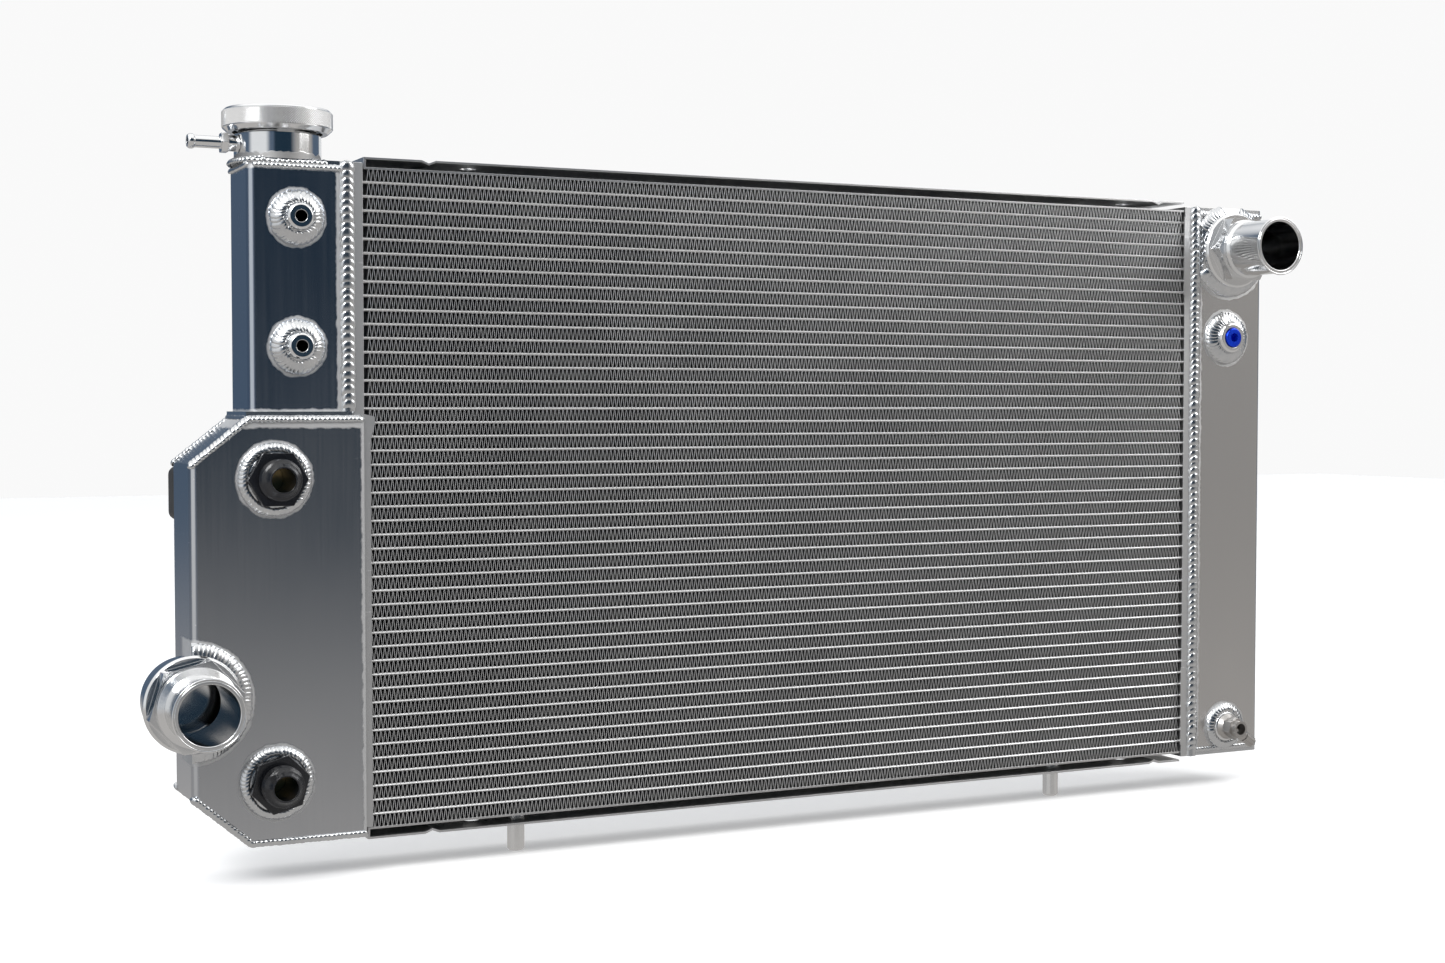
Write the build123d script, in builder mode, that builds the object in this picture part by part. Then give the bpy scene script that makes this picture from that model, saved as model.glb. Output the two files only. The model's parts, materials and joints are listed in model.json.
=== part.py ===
"""Welded aluminium crossflow car radiator, as separate pieces in one frame.

Millimetres, +Z up. +X runs along the core from the stepped tank, which is at -X, to the plain
tank. -Y points to the engine side, where the hose necks and fittings stand out. The origin is
the middle of the bottom rail's underside, which is what the radiator is seated on.
"""
import os
from math import cos, hypot, radians, sin

from build123d import *

os.makedirs("parts", exist_ok=True)

# ---- Driving dimensions ------------------------------------------------------------------
CORE_WIDTH = 695.0
TUBE_ROWS = 46
TUBE_PITCH = 9.6
TUBE_HEIGHT = 1.8
TUBE_DEPTH = 25.4
TUBE_WALL = 0.4
ROW_GAP = 3.0
RAIL_HEIGHT = 8.3
RAIL_SHEET = 1.5
TANK_DEPTH = 56.0
TANK_SHEET = 3.2
TANK_BEND = 6.0
TANK_BOTTOM = 4.0
TANK_TOP = 462.0
LOWER_TANK_TOP = 290.0
LOWER_TANK_STEP = 4.0
LEFT_TANK_WALL = -426.5
LOWER_TANK_WALL = -466.8
RIGHT_TANK_WALL = 430.5
HEADER_SHEET = 3.0

# ---- Worked out from them -----------------------------------------------------------------
HALF_WIDTH = CORE_WIDTH / 2
FIN_HEIGHT = TUBE_PITCH - TUBE_HEIGHT
CORE_DEPTH = 2 * TUBE_DEPTH + ROW_GAP
CORE_HALF_HEIGHT = (TUBE_ROWS - 1) / 2 * TUBE_PITCH + TUBE_HEIGHT / 2 + FIN_HEIGHT
CORE_MID_Z = CORE_HALF_HEIGHT + RAIL_HEIGHT
RADIATOR_TOP = 2 * CORE_MID_Z
FRONT = TANK_DEPTH / 2
LOWER_FRONT = FRONT + LOWER_TANK_STEP
ROW_OFFSET = (TUBE_DEPTH + ROW_GAP) / 2
HEADER_INNER = HALF_WIDTH + 1.0
HEADER_OUTER = HEADER_INNER + HEADER_SHEET
HEADER_RIM = HEADER_INNER + 8.5
TANK_EDGE = HEADER_RIM + 1.0
LOWER_SHELL_EDGE = -HALF_WIDTH - 2.4
TUBE_LENGTH = 2 * (HEADER_OUTER + 2.0)


def write(builder, name):
    """Label a finished piece and write its STEP file."""
    builder.part.label = name
    export_step(builder.part, f"parts/{name}.step")


def front_axis(x, z):
    """The axis of a fitting that points to the engine side."""
    return Axis((x, 0, z), (0, 1, 0))


def front_profile(x, z, outline):
    """A half section for a turned fitting: (radius, reach in front of the core's middle)."""
    with BuildSketch(Plane.XY.offset(z)) as profile:
        with BuildLine():
            Polyline(*[(x + radius, -reach) for radius, reach in outline], close=True)
        make_face()
    return profile.sketch


def upright_profile(x, outline):
    """A half section for a piece turned about a vertical axis: (radius, height)."""
    with BuildSketch(Plane.XZ) as profile:
        with BuildLine():
            Polyline(*[(x + radius, height) for radius, height in outline], close=True)
        make_face()
    return profile.sketch


def upright_axis(x):
    """The vertical axis of the filler neck and cap."""
    return Axis((x, 0, 0), (0, 0, 1))


# ---- Core: two rows of flat tubes, and the fin strips between them -------------------------
def tube_row(offset_y):
    """The flat tube sections of one row, standing across the core."""
    half = TUBE_DEPTH / 2
    nose = TUBE_HEIGHT / 2
    with BuildSketch(Plane.YZ.offset(-TUBE_LENGTH / 2)) as section:
        with Locations((offset_y, CORE_MID_Z)):
            with GridLocations(0, TUBE_PITCH, 1, TUBE_ROWS):
                Polygon(*tube_outline(half, nose, nose))
                inner = nose - TUBE_WALL
                Polygon(*tube_outline(half - TUBE_WALL, inner, inner), mode=Mode.SUBTRACT)
    return section.sketch


def tube_outline(half_depth, half_height, nose):
    """Corner points of a flat tube's section, with a bevelled nose at each end."""
    return [
        (-half_depth, 0),
        (-half_depth + nose, -half_height),
        (half_depth - nose, -half_height),
        (half_depth, 0),
        (half_depth - nose, half_height),
        (-half_depth + nose, half_height),
    ]


with BuildPart() as core_tubes_front:
    extrude(tube_row(-ROW_OFFSET), amount=TUBE_LENGTH)
write(core_tubes_front, "core_tubes_front")

with BuildPart() as core_tubes_rear:
    extrude(tube_row(ROW_OFFSET), amount=TUBE_LENGTH)
write(core_tubes_rear, "core_tubes_rear")

FIN_WAVES = 12
FIN_SHEET = 0.8
FIN_LAND = 0.2
fin_wave = (CORE_WIDTH - 3.0) / FIN_WAVES


def fin_edge(lift):
    """One edge of a folded fin strip: a trapezium wave between the two tubes."""
    points = []
    crest = FIN_HEIGHT - FIN_SHEET
    for wave in range(FIN_WAVES):
        start = (wave - FIN_WAVES / 2) * fin_wave
        points.append((start, lift))
        points.append((start + FIN_LAND * fin_wave, lift))
        points.append((start + 0.5 * fin_wave, lift + crest))
        points.append((start + (0.5 + FIN_LAND) * fin_wave, lift + crest))
    points.append((FIN_WAVES / 2 * fin_wave, lift))
    return points


with BuildPart() as core_fins:
    with BuildSketch(Plane.XZ.offset(-CORE_DEPTH / 2)):
        with Locations((0, CORE_MID_Z - FIN_HEIGHT / 2)):
            with GridLocations(0, TUBE_PITCH, 1, TUBE_ROWS + 1):
                Polygon(*(fin_edge(0) + fin_edge(FIN_SHEET)[::-1]), align=None)
    extrude(amount=CORE_DEPTH)
write(core_fins, "core_fins")


# ---- Header plates: slotted channels that the tubes are brazed into -----------------------
def header_channel(side):
    """The plan section of a header plate: a channel whose rim meets the tank's edges."""
    with BuildSketch(Plane.XY.offset(TANK_BOTTOM)) as section:
        with Locations((side * (HEADER_INNER + HEADER_RIM) / 2, 0)):
            Rectangle(HEADER_RIM - HEADER_INNER, TANK_DEPTH)
        with Locations((side * (HEADER_OUTER + HEADER_RIM) / 2, 0)):
            Rectangle(
                HEADER_RIM - HEADER_OUTER, TANK_DEPTH - 2 * HEADER_SHEET, mode=Mode.SUBTRACT
            )
    return section.sketch


def tube_slots():
    """The slots of both tube rows, as one sketch across the core."""
    with BuildSketch(Plane.YZ.offset(-TUBE_LENGTH / 2)) as slots:
        with Locations((-ROW_OFFSET, CORE_MID_Z), (ROW_OFFSET, CORE_MID_Z)):
            with GridLocations(0, TUBE_PITCH, 1, TUBE_ROWS):
                Polygon(*tube_outline(TUBE_DEPTH / 2, TUBE_HEIGHT / 2, TUBE_HEIGHT / 2))
    return slots.sketch


with BuildPart() as left_header_plate:
    extrude(header_channel(-1), amount=TANK_TOP - TANK_BOTTOM)
    extrude(tube_slots(), amount=TUBE_LENGTH, mode=Mode.SUBTRACT)
write(left_header_plate, "left_header_plate")

with BuildPart() as right_header_plate:
    extrude(header_channel(1), amount=TANK_TOP - TANK_BOTTOM)
    extrude(tube_slots(), amount=TUBE_LENGTH, mode=Mode.SUBTRACT)
write(right_header_plate, "right_header_plate")

EDGE_STRIP_SHEET = 1.2
with BuildPart() as left_core_edge_strip:
    with BuildSketch(Plane.XZ.offset(FRONT)):
        with BuildLine():
            Polyline(
                (LOWER_SHELL_EDGE, 9.0),
                (-HALF_WIDTH + 3.0, 9.0),
                (-HALF_WIDTH + 3.0, LOWER_TANK_TOP - 16),
                (-HALF_WIDTH + 6.0, LOWER_TANK_TOP - 5),
                (-HALF_WIDTH + 6.0, LOWER_TANK_TOP),
                (LOWER_SHELL_EDGE, LOWER_TANK_TOP + 2),
                close=True,
            )
        make_face()
    extrude(amount=EDGE_STRIP_SHEET)
write(left_core_edge_strip, "left_core_edge_strip")

TAB_HEIGHT = 65.0
with BuildPart() as right_core_edge_tabs:
    with BuildSketch(Plane.XZ.offset(FRONT)):
        with Locations((HALF_WIDTH + 1.5, TANK_TOP - 8 - TAB_HEIGHT / 2),
                       (HALF_WIDTH + 1.5, TANK_BOTTOM + 10 + TAB_HEIGHT / 2)):
            Rectangle(4.0, TAB_HEIGHT)
    extrude(amount=EDGE_STRIP_SHEET)
write(right_core_edge_tabs, "right_core_edge_tabs")

# ---- Side rails: channels that close the core at the top and bottom -----------------------
RAIL_LEFT = -HALF_WIDTH
RAIL_RIGHT = HALF_WIDTH + 0.5
CREASE_DEPTH = 2.0
CREASE_HALF = 5.0
CREASES = (-HALF_WIDTH + 46, HALF_WIDTH - 26)
RAIL_HOLES = (-HALF_WIDTH + 83, HALF_WIDTH - 42)
RAIL_HOLE_RADIUS = 6.0
PIN_PLACES = (-230.5, 236.5)
PIN_RADIUS = 6.25
PIN_SHANK_RADIUS = 6.8


def rail_flange_edge(lift):
    """One face of a rail's outer flange, measured from the seat: flat, with two V creases."""
    points = [(RAIL_LEFT, lift)]
    for crease in CREASES:
        points.append((crease - CREASE_HALF, lift))
        points.append((crease, lift + CREASE_DEPTH))
        points.append((crease + CREASE_HALF, lift))
    points.append((RAIL_RIGHT, lift))
    return points


def rail_outer_flange():
    """The outer flange's face, seen along the radiator's depth."""
    with BuildSketch(Plane.XZ.offset(-CORE_DEPTH / 2)) as face:
        Polygon(*(rail_flange_edge(0) + rail_flange_edge(RAIL_SHEET)[::-1]), align=None)
    return face.sketch


def rail_walls():
    """The rail's inner flange, its web at the back, and the folded end at the left."""
    length = RAIL_RIGHT - RAIL_LEFT
    middle = (RAIL_RIGHT + RAIL_LEFT) / 2
    with BuildSketch(Plane.XY.offset(RAIL_SHEET)) as web:
        with Locations((middle, CORE_DEPTH / 2 - RAIL_SHEET / 2)):
            Rectangle(length, RAIL_SHEET)
        with Locations((RAIL_LEFT + RAIL_SHEET / 2, 0)):
            Rectangle(RAIL_SHEET, CORE_DEPTH)
    return web.sketch


def rail_inner_flange():
    """The inner flange, which lies on the outermost fin strip."""
    with BuildSketch(Plane.XY.offset(RAIL_HEIGHT - RAIL_SHEET)) as flange:
        with Locations(((RAIL_RIGHT + RAIL_LEFT) / 2, 0)):
            Rectangle(RAIL_RIGHT - RAIL_LEFT, CORE_DEPTH)
    return flange.sketch


with BuildPart() as bottom_side_rail:
    extrude(rail_outer_flange(), amount=CORE_DEPTH)
    extrude(rail_walls(), amount=RAIL_HEIGHT - RAIL_SHEET)
    extrude(rail_inner_flange(), amount=RAIL_SHEET)
    with BuildSketch():
        with Locations(*[(x, 0) for x in RAIL_HOLES]):
            Circle(RAIL_HOLE_RADIUS)
        with Locations(*[(x, 0) for x in PIN_PLACES]):
            Circle(PIN_SHANK_RADIUS)
    extrude(amount=RAIL_SHEET, mode=Mode.SUBTRACT)
write(bottom_side_rail, "bottom_side_rail")

with BuildPart() as top_side_rail:
    with BuildSketch(Plane.XZ.offset(-CORE_DEPTH / 2)):
        outer = [(x, RADIATOR_TOP - z) for x, z in rail_flange_edge(0)]
        inner = [(x, RADIATOR_TOP - z) for x, z in rail_flange_edge(RAIL_SHEET)]
        Polygon(*(outer + inner[::-1]), align=None)
    extrude(amount=CORE_DEPTH)
    extrude(rail_walls().moved(Location((0, 0, RADIATOR_TOP - RAIL_HEIGHT - RAIL_SHEET))),
            amount=RAIL_HEIGHT - RAIL_SHEET)
    extrude(rail_inner_flange().moved(Location((0, 0, RADIATOR_TOP - 2 * RAIL_HEIGHT + RAIL_SHEET))),
            amount=RAIL_SHEET)
    with BuildSketch(Plane.XY.offset(RADIATOR_TOP)):
        with Locations(*[(x, 0) for x in RAIL_HOLES]):
            Circle(RAIL_HOLE_RADIUS)
    extrude(amount=-RAIL_SHEET, mode=Mode.SUBTRACT)
write(top_side_rail, "top_side_rail")

PIN_LENGTH = 23.5
PIN_TIP = 1.5
PIN_HEAD_RADIUS = 8.0
PIN_HEAD = 1.5


def locating_pin(x):
    """Half section of a headed pin: its wider shank is pressed into the rail, and it stands down."""
    return upright_profile(x, [
        (0, RAIL_SHEET + PIN_HEAD),
        (PIN_HEAD_RADIUS, RAIL_SHEET + PIN_HEAD),
        (PIN_HEAD_RADIUS, RAIL_SHEET),
        (PIN_SHANK_RADIUS, RAIL_SHEET),
        (PIN_SHANK_RADIUS, 0),
        (PIN_RADIUS, 0),
        (PIN_RADIUS, -PIN_LENGTH + PIN_TIP),
        (PIN_RADIUS - PIN_TIP, -PIN_LENGTH),
        (0, -PIN_LENGTH),
    ])


with BuildPart() as left_locating_pin:
    revolve(locating_pin(PIN_PLACES[0]), axis=upright_axis(PIN_PLACES[0]))
write(left_locating_pin, "left_locating_pin")

with BuildPart() as right_locating_pin:
    revolve(locating_pin(PIN_PLACES[1]), axis=upright_axis(PIN_PLACES[1]))
write(right_locating_pin, "right_locating_pin")

# ---- Tanks: a sheet wrapped round three sides, with end plates let into its ends -----------
PLATE_INSET = TANK_SHEET


def wrap_plan(wall, edge, front, height):
    """Plan section of a tank's wrap, open towards the core: wall and edge are X positions."""
    side = 1 if wall > edge else -1
    middle_x, length = (wall + edge) / 2, abs(wall - edge)
    middle_y, depth = (FRONT - front) / 2, FRONT + front
    with BuildSketch(Plane.XY.offset(height)) as plan:
        with Locations((middle_x, middle_y)):
            Rectangle(length, depth)
        outer_corners = plan.vertices().group_by(Axis.X)[-1 if side > 0 else 0]
        fillet(outer_corners, TANK_BEND)
        with BuildSketch(mode=Mode.PRIVATE) as hollow:
            with Locations((middle_x - side * TANK_SHEET, middle_y)):
                Rectangle(length, depth - 2 * TANK_SHEET)
            corners = hollow.vertices().group_by(Axis.X)[-1 if side > 0 else 0]
            fillet(corners, TANK_BEND - TANK_SHEET)
        add(hollow.sketch, mode=Mode.SUBTRACT)
    return plan.sketch


def plate_plan(wall, edge, front, height):
    """Plan of an end plate, set in from the wrap's outer faces to leave room for the weld."""
    side = 1 if wall > edge else -1
    outer = wall - side * PLATE_INSET
    with BuildSketch(Plane.XY.offset(height)) as plan:
        with Locations(((outer + edge) / 2, (FRONT - front) / 2)):
            Rectangle(abs(outer - edge), FRONT + front - 2 * PLATE_INSET)
        corners = plan.vertices().group_by(Axis.X)[-1 if side > 0 else 0]
        fillet(corners, TANK_BEND - PLATE_INSET)
    return plan.sketch


def seam_plan(wall, edge, front, height):
    """Plan of the corner weld that fills the step round an end plate on three sides."""
    side = 1 if wall > edge else -1
    with BuildSketch(Plane.XY.offset(height)) as plan:
        with Locations(((wall + edge) / 2, (FRONT - front) / 2)):
            Rectangle(abs(wall - edge), FRONT + front)
        corners = plan.vertices().group_by(Axis.X)[-1 if side > 0 else 0]
        fillet(corners, TANK_BEND)
        add(plate_plan(wall, edge, front, 0), mode=Mode.SUBTRACT)
    return plan.sketch


# ---- Upper left tank -----------------------------------------------------------------------
NECK_X = -399.5
NECK_RADIUS = 29.0
NECK_SPIGOT = 23.5
SMALL_BUNG_X = -394.0
SMALL_BUNG_Z = (337.0, 423.0)
SMALL_BUNG_RADIUS = 9.0
SMALL_BUNG_SPIGOT = 7.5
SMALL_BUNG_REACH = 14.0
SMALL_BUNG_BORE = 4.0

with BuildPart() as left_upper_tank_shell:
    extrude(wrap_plan(LEFT_TANK_WALL, -TANK_EDGE, FRONT, LOWER_TANK_TOP),
            amount=TANK_TOP - TANK_SHEET - LOWER_TANK_TOP)
    with BuildSketch(Plane.XZ.offset(FRONT)):
        with Locations(*[(SMALL_BUNG_X, z) for z in SMALL_BUNG_Z]):
            Circle(SMALL_BUNG_SPIGOT)
    extrude(amount=-TANK_SHEET, mode=Mode.SUBTRACT)
write(left_upper_tank_shell, "left_upper_tank_shell")

with BuildPart() as left_upper_tank_lid:
    extrude(plate_plan(LEFT_TANK_WALL, -HEADER_OUTER, FRONT, TANK_TOP), amount=-TANK_SHEET)
    with BuildSketch(Plane.XY.offset(TANK_TOP)):
        with Locations((NECK_X, 0)):
            Circle(NECK_SPIGOT)
    extrude(amount=-TANK_SHEET, mode=Mode.SUBTRACT)
    with BuildSketch(Plane.XY.offset(TANK_TOP)):
        for flange_y in (-FRONT + HEADER_SHEET / 2, FRONT - HEADER_SHEET / 2):
            with Locations((-(HEADER_OUTER + HEADER_RIM) / 2, flange_y)):
                Rectangle(HEADER_RIM - HEADER_OUTER, HEADER_SHEET)
    extrude(amount=-TANK_SHEET, mode=Mode.SUBTRACT)
write(left_upper_tank_lid, "left_upper_tank_lid")

# ---- Lower left tank: deeper, with a bevelled corner at its top and bottom -----------------
TOP_BEVEL = (38.7, 31.0)
BOTTOM_BEVEL = (38.5, 33.0)
COOLER_PORT_X = -411.0
COOLER_PORT_Z = (45.5, 248.5)
COOLER_SPIGOT = 16.0
HOSE_Z = 102.0
HOSE_X = LOWER_TANK_WALL
HOSE_BUNG_RADIUS = 29.0
HOSE_BUNG_BACK = 8.0
TRANSFER_WINDOW = (-392.0, 52.0, 40.0)


def lower_outline(inset):
    """Front view of the lower tank, set in from its top, wall and bottom by one amount."""
    wall = LOWER_TANK_WALL + inset
    top = LOWER_TANK_TOP - inset
    bottom = TANK_BOTTOM + inset
    slope_top = hypot(*TOP_BEVEL)
    slope_bottom = hypot(*BOTTOM_BEVEL)
    top_run = inset * (slope_top - TOP_BEVEL[0]) / TOP_BEVEL[1]
    top_drop = inset * (slope_top - TOP_BEVEL[1]) / TOP_BEVEL[0]
    bottom_run = inset * (slope_bottom - BOTTOM_BEVEL[0]) / BOTTOM_BEVEL[1]
    bottom_rise = inset * (slope_bottom - BOTTOM_BEVEL[1]) / BOTTOM_BEVEL[0]
    return {
        "top_edge": (LOWER_TANK_WALL + TOP_BEVEL[0] + top_run, top),
        "top_wall": (wall, LOWER_TANK_TOP - TOP_BEVEL[1] - top_drop),
        "bottom_wall": (wall, TANK_BOTTOM + BOTTOM_BEVEL[1] + bottom_rise),
        "bottom_edge": (LOWER_TANK_WALL + BOTTOM_BEVEL[0] + bottom_run, bottom),
    }


def lower_front(inset, edge):
    """Front view of the shell between the end plates: set in from them, but not from the wall."""
    outer, inner = lower_outline(0), lower_outline(inset)
    with BuildSketch(Plane.XZ.offset(-FRONT)) as face:
        Polygon(
            (edge, inner["top_edge"][1]), inner["top_edge"], inner["top_wall"],
            outer["top_wall"], outer["bottom_wall"],
            inner["bottom_wall"], inner["bottom_edge"], (edge, inner["bottom_edge"][1]),
            align=None,
        )
    return face.sketch


def bevel_plate(ends, edge, span):
    """Front view of a bent plate strip: ends names its two corners, edge is its core end."""
    outer, inner = lower_outline(0), lower_outline(TANK_SHEET)
    near, far = ends
    with BuildSketch(Plane.XZ.offset(span[0])) as face:
        Polygon(
            (edge, outer[near][1]), outer[near], outer[far],
            inner[far], inner[near], (edge, inner[near][1]), align=None,
        )
    return face.sketch


with BuildPart() as left_lower_tank_shell:
    extrude(wrap_plan(LOWER_TANK_WALL, LOWER_SHELL_EDGE, LOWER_FRONT, TANK_BOTTOM),
            amount=LOWER_TANK_TOP - TANK_BOTTOM)
    extrude(lower_front(TANK_SHEET, LOWER_SHELL_EDGE), amount=FRONT + LOWER_FRONT,
            mode=Mode.INTERSECT)
    with BuildSketch(Plane.XZ.offset(LOWER_FRONT)):
        with Locations(*[(COOLER_PORT_X, z) for z in COOLER_PORT_Z]):
            Circle(COOLER_SPIGOT)
    extrude(amount=-TANK_SHEET, mode=Mode.SUBTRACT)
    with BuildSketch(Plane.XZ.offset(LOWER_FRONT)):
        with Locations((HOSE_X, HOSE_Z)):
            Circle(HOSE_BUNG_RADIUS)
    extrude(amount=HOSE_BUNG_BACK - LOWER_FRONT, mode=Mode.SUBTRACT)
    with BuildSketch(Plane.XY.offset(TANK_BOTTOM)):
        with Locations((-(HEADER_INNER + HEADER_RIM) / 2, FRONT - TANK_SHEET / 2)):
            Rectangle(HEADER_RIM - HEADER_INNER + 2, TANK_SHEET)
    extrude(amount=LOWER_TANK_TOP - TANK_BOTTOM, mode=Mode.SUBTRACT)
write(left_lower_tank_shell, "left_lower_tank_shell")

PLATE_SPAN = (LOWER_FRONT - PLATE_INSET, FRONT - PLATE_INSET)
PLATE_DEPTH = sum(PLATE_SPAN)


def clear_header_flanges():
    """Plan of the header's two flanges, which the end plates are notched round."""
    with BuildSketch(Plane.XY.offset(TANK_BOTTOM)) as notches:
        for flange_y in (-FRONT + HEADER_SHEET / 2, FRONT - HEADER_SHEET / 2):
            with Locations((-(HEADER_OUTER + HEADER_RIM) / 2, flange_y)):
                Rectangle(HEADER_RIM - HEADER_OUTER, HEADER_SHEET)
    return notches.sketch


with BuildPart() as left_lower_tank_top_plate:
    extrude(bevel_plate(("top_edge", "top_wall"), -HEADER_OUTER, (-PLATE_SPAN[1], 0)),
            amount=PLATE_DEPTH)
    with BuildSketch(Plane.XY.offset(LOWER_TANK_TOP)):
        with Locations((TRANSFER_WINDOW[0], 0)):
            Rectangle(TRANSFER_WINDOW[1], TRANSFER_WINDOW[2])
    extrude(amount=-TANK_SHEET, mode=Mode.SUBTRACT)
    extrude(clear_header_flanges(), amount=TANK_TOP - TANK_BOTTOM, mode=Mode.SUBTRACT)
write(left_lower_tank_top_plate, "left_lower_tank_top_plate")

with BuildPart() as left_lower_tank_bottom_plate:
    extrude(bevel_plate(("bottom_edge", "bottom_wall"), -HEADER_OUTER, (-PLATE_SPAN[1], 0)),
            amount=PLATE_DEPTH)
    extrude(clear_header_flanges(), amount=TANK_TOP - TANK_BOTTOM, mode=Mode.SUBTRACT)
write(left_lower_tank_bottom_plate, "left_lower_tank_bottom_plate")

# ---- Right tank ----------------------------------------------------------------------------
OUTLET_X = 394.0
OUTLET_Z = 427.0
OUTLET_BUNG_RADIUS = 27.0
PLUG_X = 391.5
PLUG_Z = 354.3
PLUG_BUNG_RADIUS = 12.5
PLUG_SPIGOT = 10.0
DRAIN_X = 393.5
DRAIN_Z = 27.0
DRAIN_BUNG_RADIUS = 12.5
DRAIN_SPIGOT = 10.0

with BuildPart() as right_tank_shell:
    extrude(wrap_plan(RIGHT_TANK_WALL, TANK_EDGE, FRONT, TANK_BOTTOM + TANK_SHEET),
            amount=TANK_TOP - TANK_BOTTOM - 2 * TANK_SHEET)
    with BuildSketch(Plane.XZ.offset(FRONT)):
        with Locations((OUTLET_X, OUTLET_Z)):
            Circle(OUTLET_BUNG_RADIUS)
        with Locations((PLUG_X, PLUG_Z)):
            Circle(PLUG_SPIGOT)
        with Locations((DRAIN_X, DRAIN_Z)):
            Circle(DRAIN_SPIGOT)
    extrude(amount=-TANK_SHEET, mode=Mode.SUBTRACT)
write(right_tank_shell, "right_tank_shell")


def right_end_plate(height):
    """An end plate of the right tank, notched round the header's flanges."""
    with BuildSketch(Plane.XY.offset(height)) as plan:
        add(plate_plan(RIGHT_TANK_WALL, HEADER_OUTER, FRONT, 0))
        for flange_y in (-FRONT + HEADER_SHEET / 2, FRONT - HEADER_SHEET / 2):
            with Locations(((HEADER_OUTER + HEADER_RIM) / 2, flange_y)):
                Rectangle(HEADER_RIM - HEADER_OUTER, HEADER_SHEET, mode=Mode.SUBTRACT)
    return plan.sketch


with BuildPart() as right_tank_top_plate:
    extrude(right_end_plate(TANK_TOP), amount=-TANK_SHEET)
write(right_tank_top_plate, "right_tank_top_plate")

with BuildPart() as right_tank_bottom_plate:
    extrude(right_end_plate(TANK_BOTTOM), amount=TANK_SHEET)
write(right_tank_bottom_plate, "right_tank_bottom_plate")

# ---- Small threaded bungs on the upper left tank -------------------------------------------
def small_bung(z):
    """Half section of a small bung: a spigot through the sheet and a boss in front of it."""
    return front_profile(SMALL_BUNG_X, z, [
        (SMALL_BUNG_BORE, FRONT - TANK_SHEET),
        (SMALL_BUNG_SPIGOT, FRONT - TANK_SHEET),
        (SMALL_BUNG_SPIGOT, FRONT),
        (SMALL_BUNG_RADIUS, FRONT),
        (SMALL_BUNG_RADIUS, FRONT + SMALL_BUNG_REACH - 1.5),
        (SMALL_BUNG_RADIUS - 1.5, FRONT + SMALL_BUNG_REACH),
        (SMALL_BUNG_BORE, FRONT + SMALL_BUNG_REACH),
    ])


with BuildPart() as lower_sensor_bung:
    revolve(small_bung(SMALL_BUNG_Z[0]), axis=front_axis(SMALL_BUNG_X, SMALL_BUNG_Z[0]))
write(lower_sensor_bung, "lower_sensor_bung")

with BuildPart() as upper_sensor_bung:
    revolve(small_bung(SMALL_BUNG_Z[1]), axis=front_axis(SMALL_BUNG_X, SMALL_BUNG_Z[1]))
write(upper_sensor_bung, "upper_sensor_bung")

# ---- Oil cooler inside the lower tank, its two bungs, fittings and seals --------------------
COOLER_BUNG_RADIUS = 18.0
COOLER_BUNG_REACH = 4.0
COOLER_BUNG_BORE = 12.0
COOLER_SEAL_RADIUS = 14.5
COOLER_SEAL_DEPTH = 2.0
COOLER_HEX = 35.0
COOLER_HEX_LENGTH = 8.0
COOLER_THREAD_RADIUS = 13.5
COOLER_REACH = 27.0
COOLER_NOSE_RADIUS = 11.5
COOLER_BORE = 8.0
COOLER_BLOCK_FRONT = 22.0
COOLER_BACK = -14.0
PORT_FACE = LOWER_FRONT + COOLER_BUNG_REACH


def cooler_bung(z):
    """Half section of a cooler port bung, counterbored at its mouth for the seal."""
    return front_profile(COOLER_PORT_X, z, [
        (COOLER_BUNG_BORE, COOLER_BLOCK_FRONT),
        (COOLER_SPIGOT, COOLER_BLOCK_FRONT),
        (COOLER_SPIGOT, LOWER_FRONT),
        (COOLER_BUNG_RADIUS, LOWER_FRONT),
        (COOLER_BUNG_RADIUS, PORT_FACE),
        (COOLER_SEAL_RADIUS, PORT_FACE),
        (COOLER_SEAL_RADIUS, PORT_FACE - COOLER_SEAL_DEPTH),
        (COOLER_BUNG_BORE, PORT_FACE - COOLER_SEAL_DEPTH),
    ])


def cooler_fitting(z):
    """Half section of a flare adapter: screwed spigot, threaded nose and 37 degree cone."""
    return front_profile(COOLER_PORT_X, z, [
        (COOLER_BORE, COOLER_BLOCK_FRONT + 1),
        (COOLER_BUNG_BORE - 0.05, COOLER_BLOCK_FRONT + 1),
        (COOLER_BUNG_BORE - 0.05, PORT_FACE),
        (COOLER_THREAD_RADIUS - 1.0, PORT_FACE),
        (COOLER_THREAD_RADIUS - 1.0, PORT_FACE + COOLER_HEX_LENGTH + 2.0),
        (COOLER_THREAD_RADIUS, PORT_FACE + COOLER_HEX_LENGTH + 2.5),
        (COOLER_THREAD_RADIUS, LOWER_FRONT + COOLER_REACH - 5.0),
        (COOLER_NOSE_RADIUS, LOWER_FRONT + COOLER_REACH - 4.0),
        (COOLER_BORE + 1.0, LOWER_FRONT + COOLER_REACH),
        (COOLER_BORE, LOWER_FRONT + COOLER_REACH),
    ])


def cooler_hex(z, turn):
    """The adapter's hexagon, turned to where it tightened."""
    with BuildSketch(Plane.XZ.offset(PORT_FACE)) as face:
        with Locations((COOLER_PORT_X, z)):
            RegularPolygon(COOLER_HEX / 2, 6, major_radius=False, rotation=turn)
            Circle(COOLER_BORE, mode=Mode.SUBTRACT)
    return face.sketch


def cooler_seal(z):
    """Half section of the seal ring under the adapter's hexagon."""
    return front_profile(COOLER_PORT_X, z, [
        (COOLER_BUNG_BORE, PORT_FACE - COOLER_SEAL_DEPTH),
        (COOLER_SEAL_RADIUS, PORT_FACE - COOLER_SEAL_DEPTH),
        (COOLER_SEAL_RADIUS, PORT_FACE),
        (COOLER_BUNG_BORE, PORT_FACE),
    ])


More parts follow.
